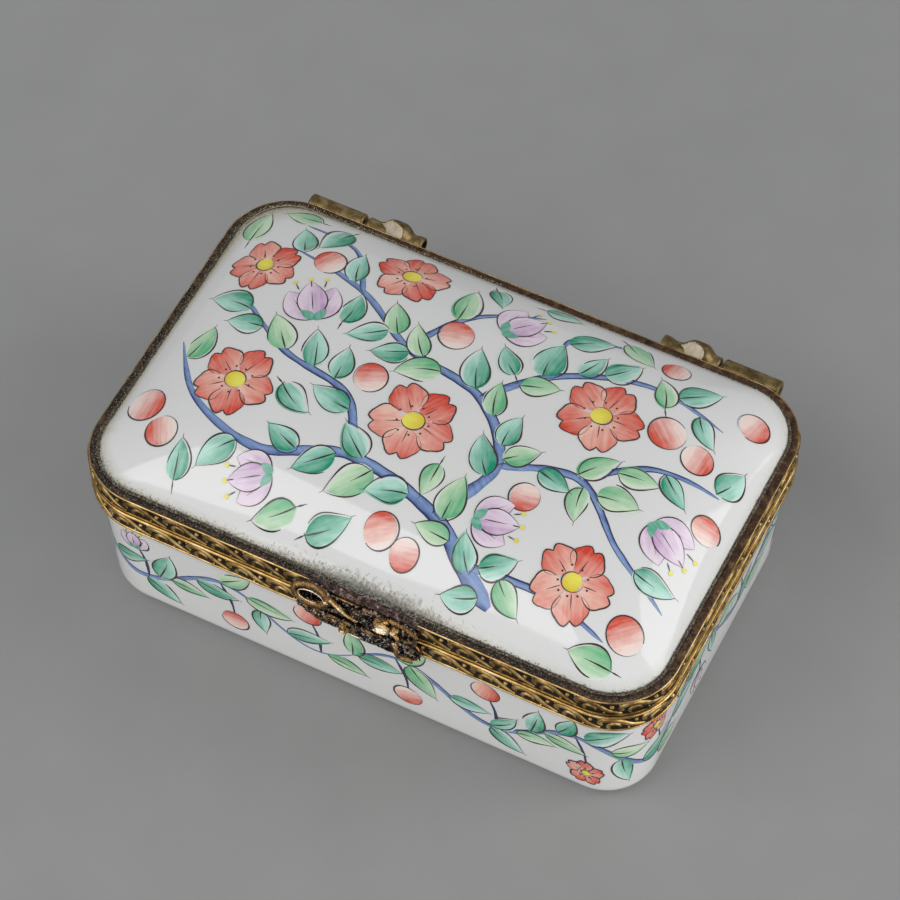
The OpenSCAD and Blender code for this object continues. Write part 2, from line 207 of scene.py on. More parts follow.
def drySoil(name, tones, sizeMm):  # old cement, dirt and corrosion: matt, gritty, with pale crumbs
    made, skin, add, place = newMaterial(name, {"Roughness": 0.9, "IOR": 1.45})
    crumbs = add("TexNoise", {"Scale": perMetre(sizeMm), "Detail": 6.0, "Roughness": 0.7, "Vector": place})
    colour = add("ValToRGB", {"stops": list(zip((0.4, 0.54, 0.68), tones)), "Fac": crumbs})
    bump = add("Bump", {"Strength": 0.8, "Distance": 0.06 * mm, "Height": crumbs})
    setUp(skin, {"Base Color": colour, "Normal": bump})
    return made


def ledgeSurface():  # never polished: black and gritty where hands leave dirt, plain brown towards the hinges
    made, skin, add, place = newMaterial("tarnishedLedge", {"Metallic": 0.5, "Roughness": 0.6})
    spot = add("SeparateXYZ", {"Vector": place}).node.outputs
    lean = add("Math", {"operation": "MULTIPLY_ADD", 1: 0.6, 0: spot["X"], 2: spot["Y"]})
    behind = add("MapRange", {"From Min": -18 * mm, "From Max": 16 * mm, "Value": lean})
    blotch = add("TexNoise", {"Scale": perMetre(0.9), "Detail": 6.0, "Roughness": 0.7, "Vector": place})
    black, brown = [add("ValToRGB", {"stops": list(zip((0.38, 0.52, 0.66), tones)), "Fac": blotch})
                    for tones in (("#17100c", "#33251a", "#68503a"), ("#2c1d11", "#523722", "#7f603d"))]
    metal = add("Mix", {"data_type": "RGBA", 0: behind, 6: black, 7: brown})
    grit = add("TexNoise", {"Scale": perMetre(0.2), "Detail": 2.0, "Vector": place})
    speck = add("MapRange", {"From Min": 0.56, "From Max": 0.66, "To Max": 0.8, "Value": grit})
    dust = add("MapRange", {"From Min": 20 * mm, "From Max": -12 * mm, "To Min": 0.15, "Value": lean})
    grains = add("Math", {"operation": "MULTIPLY", 0: speck, 1: dust})
    colour = add("Mix", {"data_type": "RGBA", 7: "#8b8784", 0: grains, 6: metal})
    bump = add("Bump", {"Strength": 1.0, "Distance": 0.12 * mm, "Height": grit})
    setUp(skin, {"Base Color": colour, "Normal": bump})
    return made


def castSurface():  # casting black with lacquer and dirt: glossy hollows, brass rubbed bright on the ridges, and painted highlight where the brass faces up and forward
    made, skin, add, place = newMaterial("tarnishedCasting", {"Metallic": 0.85, "Roughness": 0.26})
    wear = add("Attribute", {"attribute_name": "wear"}, "Fac")
    blotch = add("TexNoise", {"Scale": perMetre(0.9), "Detail": 4.0, "Vector": place})
    uneven = add("Math", {"operation": "SUBTRACT", 1: 0.47, 0: blotch})
    rubbedAndHighlit = add("Math", {"operation": "ADD", "use_clamp": True, 0: uneven, 1: wear})
    # the pale top of the ramp is rubbed brass and painted highlight
    brass = add("ValToRGB", {"Fac": rubbedAndHighlit, "stops": (
        (0.1, "#150d07"), (0.3, "#3c2614"), (0.5, "#7e5b2e"), (0.7, "#b8925a"), (0.95, "#efdcba"))})
    dust = add("TexNoise", {"Scale": perMetre(0.24), "Detail": 2.0, "Vector": place})
    speck = add("MapRange", {"From Min": 0.54, "From Max": 0.66, "To Max": 0.8, "Value": dust})
    hollow = add("MapRange", {"From Min": 0.62, "From Max": 0.3, "Value": rubbedAndHighlit})
    grains = add("Math", {"operation": "MULTIPLY", 0: speck, 1: hollow})
    colour = add("Mix", {"data_type": "RGBA", 7: "#aeaba6", 0: grains, 6: brass})
    sheen = add("MapRange", {"To Min": 0.9, "To Max": 0.0, "Value": grains})
    matt = add("MapRange", {"To Min": 0.27, "To Max": 0.8, "Value": grains})
    grain = add("TexNoise", {"Scale": perMetre(0.2), "Detail": 2.0, "Vector": place})
    bump = add("Bump", {"Strength": 0.8, "Distance": 0.1 * mm, "Height": grain})
    setUp(skin, {"Base Color": colour, "Metallic": sheen, "Roughness": matt, "Normal": bump})
    return made


porcelain = glazedPorcelain()
enamel = overglazeEnamel()
gilt = agedBrass("wornBrass", ("#846636", "#c49e60", "#e8cc97"), 0.38, 1.4)
duskBrass = agedBrass("dimmedBrass", ("#6b5230", "#a5844f", "#d2b580"), 0.38, 1.4)
wireBrass = agedBrass("rubbedWire", ("#86683a", "#bb985c", "#e0c494"), 0.24, 2.2, bumpMm=0.01)
bronze = agedBrass("browningBrass", ("#4a3618", "#8a6a32", "#b8934f"), 0.3, 1.4)
# near-black patina: the real ground of the chased band, and painted shade inside the hinge bores
patinaAndBoreShade = agedBrass("blackPatinaAndBoreShade", ("#0b0907", "#140f0b", "#2c2010"), 0.5, 0.9, 0.6)
ledge = ledgeSurface()
castBrass = castSurface()
hingeBrass = agedBrass("dulledBrass", ("#574830", "#85714a", "#ae9870"), 0.4, 1.5)
# the worn facet of each knop is coloured pale cream, partly worn brass and partly painted highlight
facetWearAndHighlight = agedBrass("rubbedBrassAndHighlight", ("#c2b296", "#d8cab0", "#eadfc9"), 0.5, 1.2, 0.7)
innerBrass = agedBrass("innerBrass", ("#9c7940", "#ae8b4f", "#bf9d60"), 0.3, 1.2, bumpMm=0.006)
paste = drySoil("driedPaste", ("#9a9275", "#c9c1a4", "#e4dec6"), 0.3)
soil = drySoil("grimedCement", ("#241f18", "#5d5343", "#b3ab98"), 0.2)
lint = drySoil("dustLint", ("#938f84", "#c2bfb5", "#e6e4dc"), 0.3)
rust = drySoil("corrodedBrass", ("#1d1511", "#55413a", "#b89c92"), 0.4)
print("materials ready")

# outline shared by all the rings
band = {"length": 69.6, "width": 44.6, "corner": 7.6}
runX = band["length"] - 2 * band["corner"]
runY = band["width"] - 2 * band["corner"]
arcRun = pi / 2 * band["corner"]
perimeter = 2 * (runX + runY) + 4 * arcRun


def onBand(s, out, z):  # s mm round from the middle of the front, out mm from the band face
    s = (s + runX / 2) % perimeter
    for k in range(4):
        angle = (k - 1) * pi / 2
        normal = Vector((cos(angle), sin(angle), 0))
        along = Vector((-sin(angle), cos(angle), 0))
        run, half = (runX, band["width"] / 2) if k % 2 == 0 else (runY, band["length"] / 2)
        if s < run:
            return normal * (half + out) + along * (s - run / 2) + Vector((0, 0, z)), normal
        s -= run
        if s < arcRun:
            turn = angle + s / band["corner"]
            spoke = Vector((cos(turn), sin(turn), 0))
            heart = normal * (half - band["corner"]) + along * (run / 2)
            return heart + spoke * (band["corner"] + out) + Vector((0, 0, z)), spoke
        s -= arcRun
    return onBand(-runX / 2, out, z)


def addStrips(faces, first, rows, n, wrap=False, closed=True):  # quads between rows of n points
    for i in range(rows if wrap else rows - 1):
        a, b = first + i * n, first + (i + 1) % rows * n
        for j in range(n if closed else n - 1):
            k = (j + 1) % n
            faces.append((a + j, a + k, b + k, b + j))


def addEnds(faces, first, rows, n):
    faces.append(tuple(first + j for j in range(n)))
    faces.append(tuple(first + (rows - 1) * n + j for j in reversed(range(n))))


def loft(loops, wrap=False, capStart=None, capEnd=None):
    n = len(loops[0])
    verts, faces = [p for loop in loops for p in loop], []
    addStrips(faces, 0, len(loops), n, wrap)
    for cap, start in ((capStart, 0), (capEnd, (len(loops) - 1) * n)):
        if cap is not None:
            verts.append(cap)
            hub = len(verts) - 1
            faces += [(start + j, start + (j + 1) % n, hub) for j in range(n)]
    return verts, faces


def sweepRing(profile, stations, wobble):  # closed section carried round the outline
    loops = []
    for k in range(stations):
        s = perimeter * k / stations
        loop = []
        for j, (out, z) in enumerate(profile):
            dOut, dZ = wobble(s, j)
            loop.append(onBand(s, out + dOut, z + dZ)[0])
        loops.append(loop)
    return loft(loops, wrap=True)


def ripple(s, seed, sizeMm):  # smooth noise that closes on itself round the box
    turn = 2 * pi * s / perimeter
    reach = perimeter / (2 * pi * sizeMm)
    return noiseAt(cos(turn) * reach, sin(turn) * reach, seed * 7.3)


# levels in mm, as in the solids
level = {"parting": 20.8, "gap": 0.16, "boxBand": 2.9, "lidBand": 2.7, "seat": 0.65}
boxTop = level["parting"] - level["gap"] / 2
lidLow = level["parting"] + level["gap"] / 2
boxLow = boxTop - level["boxBand"]
lidTop = lidLow + level["lidBand"]

# porcelain box: cast shell with rounded foot, glazed in and out
box = {"inset": 0.8, "wall": 2.6, "floor": 3.0, "draft": 0.7, "foot": 3.0, "cove": 1.6, "recess": 0.35,
       "slab": 6.9, "ring": 6.25, "lip": 1.8}
slope = atan(box["draft"] / (boxLow - box["foot"]))
footX = (-box["inset"] - (boxLow - box["foot"] + box["foot"] * sin(slope)) * tan(slope)
         - box["foot"] * cos(slope))
wallTop = boxTop - level["seat"]
innerTop = -box["inset"] - box["wall"]
innerLow = innerTop - box["draft"] * (wallTop - box["floor"]) / (boxLow - box["foot"])


def wallOut(z):  # outside face of the box wall at a height
    if z >= boxLow:
        return -box["inset"]
    tangent = box["foot"] - box["foot"] * sin(slope)
    if z >= tangent:
        return -box["inset"] - (boxLow - z) * tan(slope)
    return footX + sqrt(max(box["foot"] ** 2 - (box["foot"] - z) ** 2, 0))


section = [(-box["slab"], box["recess"]), (-box["ring"] - 0.25, box["recess"]), (-box["ring"] - 0.1, 0.05),
           (-box["ring"], 0.0), (footX, 0.0)]
for k in range(1, 9):
    turn = (pi / 2 - slope) * k / 8 - pi / 2
    section.append((footX + box["foot"] * cos(turn), box["foot"] + box["foot"] * sin(turn)))
section += [(wallOut(z), z) for z in (6.0, 9.0, 12.0, 15.0, boxLow)]
section += [(-box["inset"], wallTop), (innerTop, wallTop)]
lipLow, coveTop = boxTop - box["lip"], box["floor"] + box["cove"]
section += [(innerTop + (innerLow - innerTop) * k / 5, lipLow - (lipLow - coveTop) * k / 5) for k in range(6)]
for k in range(1, 7):
    turn = pi / 12 * k
    section.append((innerLow - box["cove"] + box["cove"] * cos(turn), coveTop - box["cove"] * sin(turn)))
section.append((-box["slab"], box["floor"]))
boxStations = []
walk = -runX / 2
for k in range(4):
    run = runX if k % 2 == 0 else runY
    boxStations += [walk + run * j / 14 for j in range(14)]
    boxStations += [walk + run + arcRun * j / 24 for j in range(24)]
    walk += run + arcRun
boxLoops = [[onBand(s, out, z)[0] for s in boxStations] for out, z in section]
verts, faces = loft(boxLoops, capStart=Vector((0, 0, box["recess"])), capEnd=Vector((0, 0, box["floor"])))
boxShell = makePiece("boxPorcelain", verts, faces, [porcelain], "box", ["porcelain_base"])
heights = [v.co.z / mm for v in boxShell.data.vertices]
addField(boxShell.data, "grime", [  # a little olive dirt and painted shade just under the band
    max(0.0, 0.55 - abs(z - boxLow) * 0.9) if z < boxTop - 0.7 else 0.0 for z in heights])

# porcelain lid: cast dome, edge held in the upper mount
dome = {"inset": 1.35, "rise": 6.9, "shoulder": 4.8, "thick": 2.6, "edge": lidLow + level["seat"]}
fill = {"right": 0.2, "left": 0.3, "front": 0.3, "back": 0.5, "reach": 0.16}  # mm, and share of the way in
halfA = band["length"] / 2 - dome["inset"]
halfB = band["width"] / 2 - dome["inset"]
corner = band["corner"] - dome["inset"]
claspX = 1.2


def quarterLine(a, b, r, rounding):
    line = [(a, (b - r) * k / 14) for k in range(14)]
    line += [(a - r + r * cos(pi / 48 * k), b - r + r * sin(pi / 48 * k)) for k in range(25)]
    line += [((a - r) * (1 - k / 20), b) for k in range(1, 21)]
    mixed = []
    for x, y in line:
        t = atan2(y / b, x / a)
        mixed.append((x * (1 - rounding) + a * cos(t) * rounding, y * (1 - rounding) + b * sin(t) * rounding))
    return mixed


def fullLine(a, b, r, rounding, z):
    q = quarterLine(a, b, r, rounding)
    half = q + [(-x, y) for x, y in q[-2::-1]]
    return [Vector((x, y, z)) for x, y in half + [(-x, -y) for x, y in half[1:-1]]]


def domeLine(a, b, r, rise, low, s):
    inward = b * (1 - s)
    height = (1 - exp(-inward / dome["shoulder"])) / (1 - exp(-b / dome["shoulder"]))
    longHalf = s * (a + (a - b) * (1 - s))
    return fullLine(longHalf, b * s, min(r, b * s * 0.9), 1 - s ** 1.6, low + rise * height)


def settle(p, s):  # the lid fills its mount unevenly, closest at the back
    near = max(0.0, 1 - (1 - s) / fill["reach"])
    deep = clamp((abs(p.y) / halfB - 0.5) / 0.45) * (fill["back"] if p.y > 0 else -fill["front"])
    wide = clamp((abs(p.x) / halfA - 0.6) / 0.35) * (fill["right"] if p.x > 0 else -fill["left"])
    return p + Vector((wide * near, deep * near, 0))


def edgeShift(s):  # how far the edge of the dome stands outside its line
    spot, normal = onBand(s, -dome["inset"], lidTop)
    return (settle(spot, 1) - spot).dot(normal)


def pasteAt(x, y):  # old pale paste, along the left edge and thickest at the back left corner
    return clamp((-16 - x) / 12) * (0.35 + 0.65 * clamp((y - 2) / 14)) if y > -16 else 0.0


steps = [1 - (k / 64) ** 1.25 * 0.985 for k in range(65)]
outer = [[settle(p, s) for p in domeLine(halfA, halfB, corner, dome["rise"], lidTop, s)] for s in steps]
rim = [fullLine(halfA, halfB, corner, 0, dome["edge"] + (lidTop - dome["edge"]) * k / 3) for k in range(3)]
hollowRise = lidTop + dome["rise"] - dome["thick"] - dome["edge"]
hollow = [size - dome["thick"] for size in (halfA, halfB, corner)]
inner = [domeLine(*hollow, hollowRise, dome["edge"], s) for s in reversed(steps)]
verts, faces = loft(inner + rim + outer, capStart=Vector((0, 0, dome["edge"] + hollowRise)),
                    capEnd=Vector((0, 0, lidTop + dome["rise"])))
lidShell = makePiece("lidPorcelain", verts, faces, [porcelain], "lid", ["porcelain_lid"])
grime = []
for v in lidShell.data.vertices:  # olive dirt and painted shade fade up from the edge, most at the front and the left
    x, y, z = v.co / mm
    crust = pasteAt(x, y)
    up = z - lidTop
    edge = max(0.0, 1 - up / (1.3 + 0.9 * crust)) ** (2 - 0.8 * crust) if up >= -0.01 else 0.0
    dusty = exp(-((x - 3) / 10) ** 2) * (y < 0) * max(0.0, 1 - up / 2.0)
    side = 0.42 + 0.3 * (y < -15) * clamp((24 - x) / 20) + 0.15 * (x < -25) + 0.4 * crust
    grime.append(edge * side + dusty * 0.4 if abs(x) > 31 or abs(y) > 17 else 0.0)
addField(lidShell.data, "grime", grime)
domeTree = BVHTree.FromPolygons(*loft(outer, capEnd=Vector((0, 0, lidTop + dome["rise"]))))
print("porcelain lofted")

# painted decoration: a free flowering vine brushed in enamels
tones = {
    "teal": ("#b9e4d5", "#0a9470"), "mint": ("#d2e8c8", "#5fb681"), "coral": ("#f6c6b6", "#d8402a"),
    "blush": ("#f7ddd3", "#d8533f"), "lilac": ("#eddcea", "#a665ab"), "yellow": ("#f3ea62", "#ddb92a"),
    "blue": ("#93add8", "#2a4688"), "ink": ("#4a3d33", "#2c241d"), "navy": ("#2c3a66", "#1c2748"),
}
layers = {"stem": 0.012, "leaf": 0.022, "berry": 0.034, "petal": 0.04, "heart": 0.062, "line": 0.005}


def newSheet(place, pen):
    fields = {key: [] for key in ("verts", "faces", "pale", "deep", "wash", "cover", "uv")}
    return {**fields, "place": place, "pen": pen}


def addPatch(sheet, rows, washes, tone, lift, angle=0.0, cover=None):
    first = len(sheet["verts"])
    pale, deep = hexColor(tones[tone][0]), hexColor(tones[tone][1])
    slideU, slideV = between(0, 90), between(0, 90)
    for i, row in enumerate(rows):
        for j, (x, y) in enumerate(row):
            sheet["verts"].append(sheet["place"](x, y, lift))
            sheet["pale"].append(pale)
            sheet["deep"].append(deep)
            sheet["wash"].append(washes[i][j])
            sheet["cover"].append(cover[i][j] if cover else 1.2)
            along, across = x * cos(angle) + y * sin(angle), y * cos(angle) - x * sin(angle)
            sheet["uv"].append((slideU + along, slideV + across))
    addStrips(sheet["faces"], first, len(rows), len(rows[0]), closed=False)


def beside(path, k, wrap=False):  # the points after and before
    if wrap:
        return path[(k + 1) % len(path)], path[k - 1]
    return path[min(k + 1, len(path) - 1)], path[max(k - 1, 0)]


def onward(p, angle, far):
    return p[0] + cos(angle) * far, p[1] + sin(angle) * far


def ribbon(line, widths, across=(-1, 1)):  # rows of points either side of a line
    rows = []
    for k, p in enumerate(line):
        ahead, behind = beside(line, k)
        dx, dy = ahead[0] - behind[0], ahead[1] - behind[1]
        half = widths[k] / 2 / (hypot(dx, dy) or 1)
        rows.append([(p[0] + dy * half * v, p[1] - dx * half * v) for v in across])
    return rows


def brushLine(sheet, line, width, lift, tone="ink"):  # full in the middle, drawn off to a hair
    count = len(line)
    press = [min(0.4 + 3 * k / count, 1, 0.12 + 1.7 * (count - 1 - k) / count) for k in range(count)]
    press = [w * (1 + 0.25 * noiseAt(p[0], p[1], 8)) for w, p in zip(press, line)]
    addPatch(sheet, ribbon(line, [width * sheet["pen"] * w for w in press]), [[0.5, 0.5]] * count, tone, lift)


def leafRows(root, angle, length, width, bend, across=7, alongCount=14, blunt=0.72):
    rows = []
    x, y = root
    for i in range(alongCount + 1):
        u = i / alongCount
        turn = angle + bend * (u - 0.5)
        half = width / 2 * max(sin(pi * u ** blunt), 0) ** 0.85
        reach = [half * (2 * j / (across - 1) - 1) for j in range(across)]
        rows.append([(x - sin(turn) * r, y + cos(turn) * r) for r in reach])
        x, y = onward((x, y), turn, length / alongCount)
    return rows


def paintLeaf(sheet, root, angle, length, width, tone):
    rows = leafRows(root, angle, length, width, between(-0.6, 0.6))
    side, base = dice.choice((-1, 1)), between(0.3, 0.6)
    washes = [[base + 0.42 * side * (j / 3 - 1) + 0.5 * (0.4 - i / 14) for j in range(7)] for i in range(15)]
    bare = {3 - 3 * side: 0.85, 3 - 2 * side: 0.25}  # the wash stops short of the line on its pale side
    cover = [[1.1 - 0.35 * max(0.0, (i - 11) / 3) - bare.get(j, 0) for j in range(7)] for i in range(15)]
    lift = layers["leaf"] + 0.0015 * dice.randint(0, 4)
    addPatch(sheet, rows, washes, tone, lift, angle, cover)
    slip = (between(-0.25, 0.25), between(-0.25, 0.25))
    left, middle, right = [[(r[j][0] + slip[0], r[j][1] + slip[1]) for r in rows] for j in (0, 3, 6)]
    tail = [onward(middle[-1], angle, q) for q in (0.25, 0.5)]
    brushLine(sheet, left + tail, 0.2, lift + layers["line"])
    brushLine(sheet, right[dice.choice((0, 1, 5)):], 0.16, lift + layers["line"])
    brushLine(sheet, [r[3] for r in rows[:dice.randint(7, 11)]], 0.18, lift + layers["line"] + 0.002)


def discRows(centre, radius, turns=24, rings=5, squash=1.0, tilt=0.0):
    angles = [2 * pi * k / turns for k in range(turns + 1)]
    rows = []
    for i in range(rings + 1):
        r = radius * max(i / rings, 0.02)
        spots = [(r * cos(a), r * sin(a) * squash) for a in angles]
        rows.append([(centre[0] + x * cos(tilt) - y * sin(tilt), centre[1] + x * sin(tilt) + y * cos(tilt))
                     for x, y in spots])
    return rows


def paintBerry(sheet, centre, radius, tone="blush"):
    shade = between(0, 6.28)
    rows = discRows(centre, radius, squash=between(0.9, 1.0), tilt=shade)
    lit = [[i / 5 * cos(2 * pi * k / 24) for k in range(25)] for i in range(6)]
    washes = [[0.42 + 0.7 * v for v in row] for row in lit]
    cover = [[1.1 - 0.8 * max(0.0, -v - 0.35) / 0.65 for v in row] for row in lit]
    addPatch(sheet, rows, washes, tone, layers["berry"], shade + 1.57, cover)
    start, slip = between(0, 6.28), between(-0.16, 0.16)
    edge = [onward((centre[0] + slip, centre[1]), start + 5.6 * k / 30, radius) for k in range(31)]
    brushLine(sheet, edge, 0.17, layers["berry"] + layers["line"])


def paintRose(sheet, centre, reach, tone="coral", petals=5):
    spin = between(0, 6.28)
    cover = [[1.1 - 0.5 * max(0.0, 0.35 - i / 10) - 0.55 * (j in (0, 10)) for j in range(11)]
             for i in range(11)]
    for n in range(petals):
        angle = spin + 2 * pi * n / petals + between(-0.07, 0.07)
        strength = between(-0.25, 0.3)
        rows, washes = [], []
        for i in range(11):
            u = i / 10
            row, wash = [], []
            for j in range(11):
                v = j / 5 - 1
                notch = 0.16 * exp(-(v / 0.22) ** 2)
                r = reach * (0.2 + 0.8 * u * (1 - 0.24 * abs(v) ** 3 - notch * u))
                off = reach * 0.44 * sin(pi * (0.06 + 0.66 * u)) * v
                row.append(onward(onward(centre, angle, r), angle + pi / 2, off))
                wash.append(0.2 + strength + 0.5 * u + 0.22 * v)
            rows.append(row)
            washes.append(wash)
        addPatch(sheet, rows, washes, tone, layers["petal"] + 0.004 * (n % 3), angle, cover)
        edge = [r[0] for r in rows[2:]] + rows[-1][1:-1] + [r[-1] for r in reversed(rows[2:])]
        brushLine(sheet, edge, 0.17, layers["petal"] + 0.013)
        brushLine(sheet, [r[5] for r in rows[1:7]], 0.12, layers["petal"] + 0.013)
    hub = reach * 0.25
    washes = [[0.1 + 0.35 * i / 5 * (1 - cos(0.26 * k)) for k in range(25)] for i in range(6)]
    addPatch(sheet, discRows(centre, hub, squash=0.85, tilt=spin), washes, "yellow", layers["heart"])
    circle = [spin + 0.25 * k for k in range(22)]
    lift = layers["heart"] + layers["line"]
    ring = [(centre[0] + hub * 1.05 * cos(a), centre[1] + hub * 0.95 * sin(a)) for a in circle]
    brushLine(sheet, ring, 0.14, lift)
    for k in range(9):
        dot = onward(centre, spin + 2 * pi * k / 9, hub * between(1.35, 1.7))
        addPatch(sheet, discRows(dot, 0.13, 6, 1), [[0.5] * 7] * 2, "ink", lift)


def paintBell(sheet, root, angle, size):
    for n, (turn, grow) in enumerate(((-0.5, 0.92), (0.5, 0.92), (0.0, 1.0))):
        rows = leafRows(root, angle + turn, size * grow, size * 0.6, -turn * 0.9, 9, 12, 0.95)
        side = 1 if turn < 0 else -1
        washes = [[0.5 + 0.25 * side * (j / 4 - 1) - 0.5 * i / 12 for j in range(9)] for i in range(13)]
        lift = layers["petal"] + 0.006 * n
        cover = [[1.1 - 0.6 * (j == 4 - 4 * side) for j in range(9)]] * 13
        addPatch(sheet, rows, washes, "lilac", lift, angle + turn, cover)
        for line, width in (([r[0] for r in rows], 0.17), ([r[-1] for r in rows], 0.15),
                            ([r[4] for r in rows[3:10]], 0.12)):
            brushLine(sheet, line, width, lift + 0.003)
    for turn in (-0.8, 0.8):
        cup = leafRows(root, angle + turn, size * 0.36, size * 0.2, 0.4)
        addPatch(sheet, cup, [[0.7] * 7] * 15, "teal", layers["heart"], angle)
    for k in range(3):
        thread = [onward(root, angle + (k - 1) * 0.3, size * q) for q in (0.85, 0.92, 0.99, 1.06)]
        brushLine(sheet, thread, 0.16, layers["heart"])
        addPatch(sheet, discRows(thread[-1], 0.26, 8, 1), [[0.2] * 9] * 2, "yellow", layers["heart"] + 0.004)


def smoothPath(points, perSpan):  # a curve through points of any number of values
    ends = [points[0]] + points + [points[-1]]
    line = []
    for k in range(1, len(ends) - 2):
        for j in range(perSpan):
            t = j / perSpan
            line.append(tuple(
                b + 0.5 * t * (c - a + t * (2 * a - 5 * b + 4 * c - d + t * (3 * b - a - 3 * c + d)))
                for a, b, c, d in zip(*ends[k - 1:k + 3])))
    line.append(points[-1])
    return line


def paintStem(sheet, line, startWidth, endWidth, lift=layers["stem"]):
    count = len(line)
    widths = []
    for k, p in enumerate(line):
        t = k / (count - 1)
        ends = min(1, 0.35 + 12 * t, 0.2 + 7 * (1 - t)) if line[0] != line[-1] else 1
        uneven = 1 + 0.3 * noiseAt(p[0] * 0.5, p[1] * 0.5, 3)
        widths.append((startWidth + (endWidth - startWidth) * t) * ends * uneven)
    rows = ribbon(line, widths, (-1, -0.6, -0.2, 0.2, 0.6, 1))
    across = atan2(line[-1][1] - line[0][1], line[-1][0] - line[0][0])
    washes = [[0.9 - 0.2 * sin(k * 0.1), 0.65, 0.4, 0.25, 0.35, 0.55] for k in range(count)]
    addPatch(sheet, rows, washes, "blue", lift, across)
    brushLine(sheet, [r[0] for r in rows], 0.17, lift + layers["line"], "navy")
    if startWidth > 0.7:
        brushLine(sheet, [r[5] for r in rows[count // 5:count * 4 // 5]], 0.14, lift + layers["line"], "navy")


def onDome(x, y, lift):
    hit, normal, _, _ = domeTree.ray_cast(Vector((x, y, 60)), Vector((0, 0, -1)))
    if hit is None:
        hit, normal, _, _ = domeTree.find_nearest(Vector((x, y, lidTop)))
    return hit + (normal if normal.z > 0 else -normal) * lift


def onWall(s, z, lift):
    return onBand(s, wallOut(z) + lift, z)[0]


def finishSheet(sheet, name, body):
    mesh = newMesh(name, sheet["verts"], sheet["faces"], [enamel])
    for key, field in (("paleColor", "pale"), ("deepColor", "deep")):
        layer = mesh.attributes.new(key, "FLOAT_COLOR", "POINT")
        layer.data.foreach_set("color", [c for colour in sheet[field] for c in colour])
    for key in ("wash", "cover"):
        addField(mesh, key, sheet[key])
    strokes = mesh.uv_layers.new(name="strokes")
    for loop in mesh.loops:
        strokes.data[loop.index].uv = sheet["uv"][loop.vertex_index]
    linkMesh(name, mesh, body)


lidArt = {
    "stems": [  # control points in mm, start and end width
        ([(14.5, -18.6), (10, -16), (5, -12.5), (-6, -10), (-16, -13), (-25, -10), (-30.5, -3)], 1.7, 0.5),
        ([(5, -12.5), (8.5, -4.5), (3, 2.5), (-7, 5), (-15, 10), (-25, 13)], 1.3, 0.5),
        ([(8.5, -4.5), (17, -2), (24, -7.5), (31, -11)], 1.0, 0.4),
        ([(3, 2.5), (9, 9), (18, 13), (27.5, 12)], 1.0, 0.4),
        ([(17, -2), (23, 3), (30.5, 4.5)], 0.8, 0.35),
        ([(-6, -10), (-10, -3.5), (-19, -1), (-27, 4.5)], 1.0, 0.4),
        ([(10, -16), (19, -15.4), (27, -17)], 0.85, 0.35),
        ([(-7, 5), (-3, 12), (4, 17)], 0.8, 0.35),
        ([(-15, 10), (-19, 16), (-26, 17.5)], 0.65, 0.3),
        ([(9, 9), (8, 15), (14, 18)], 0.6, 0.3)],
    "roses": [(-22, -6.5, 4.6), (-2, -3.4, 4.9), (15.5, 6.5, 4.8), (-11.5, 15, 4.3), (21.5, -13, 4.5),
              (-27, 9.5, 4.0)],
    "bells": [((-18, 4.0), 2.1, 5.6), ((26, -2.5), -0.5, 5.2), ((9, -11), 0.2, 5.0), ((1, 12), 0.9, 5.4),
              ((-13, -15), 3.6, 4.8)],
    "berries": [(-30, -12, 2.1), (-26.8, -14.7, 1.8), (22.6, 8.2, 2.1), (26.7, 7.0, 1.8), (-3, 9, 2.0),
                (12.9, -6.6, 1.7), (28.7, -15.2, 2.0), (30, 15, 1.8), (-8.6, -0.4, 1.9), (0.5, -16, 1.9),
                (3.9, -17.2, 1.6), (-20.5, 12.5, 1.8), (19.5, 17.5, 1.6), (30.8, 0.3, 1.6)],
}
lidSheet = newSheet(onDome, 1.0)
taken = lidArt["roses"] + [(x, y, r + 0.3) for x, y, r in lidArt["berries"]]
taken += [(*onward(root, angle, size * 0.55), size * 0.55) for root, angle, size in lidArt["bells"]]


mostlyTeal, mostlyMint = ("teal", "teal", "mint"), ("teal", "mint", "mint")
leafKinds = {  # discs that the leaf covers, in shares of its length, then its width and its tones
    "stem": (((0.22, 0.22), (0.42, 0.31), (0.66, 0.28), (0.95, 0.08)), (0.54, 0.68), mostlyTeal),
    "loose": (((0.05, 0.1), (0.35, 0.3), (0.65, 0.29), (1.0, 0.1)), None, mostlyMint),
    "wall": (((0.22, 0.18), (0.42, 0.26), (0.67, 0.25), (1.0, 0.08)), (0.42, 0.54), mostlyTeal),
}


def clear(spots, inside):
    lap = perimeter / 2
    return all(
        inside(x, y) and all(hypot((x - a + lap) % perimeter - lap, y - b) > r + c for a, b, c in taken)
        for x, y, r in spots)


def growLeaf(sheet, kind, inside, root, angle, length):  # only where there is room
    shares, widths, colours = leafKinds[kind]
    spots = [(*onward(root, angle, length * q), length * w) for q, w in shares]
    room = clear(spots, inside)
    if room:
        width = length * (between(*widths) if widths else 0.6)
        paintLeaf(sheet, root, angle, length, width, dice.choice(colours))
        taken.extend(spots)
    return room


def onLidField(x, y):
    return abs(x) < 32 and abs(y) < 19.6 and hypot(max(abs(x) - 27, 0), max(abs(y) - 14.5, 0)) < 5.6


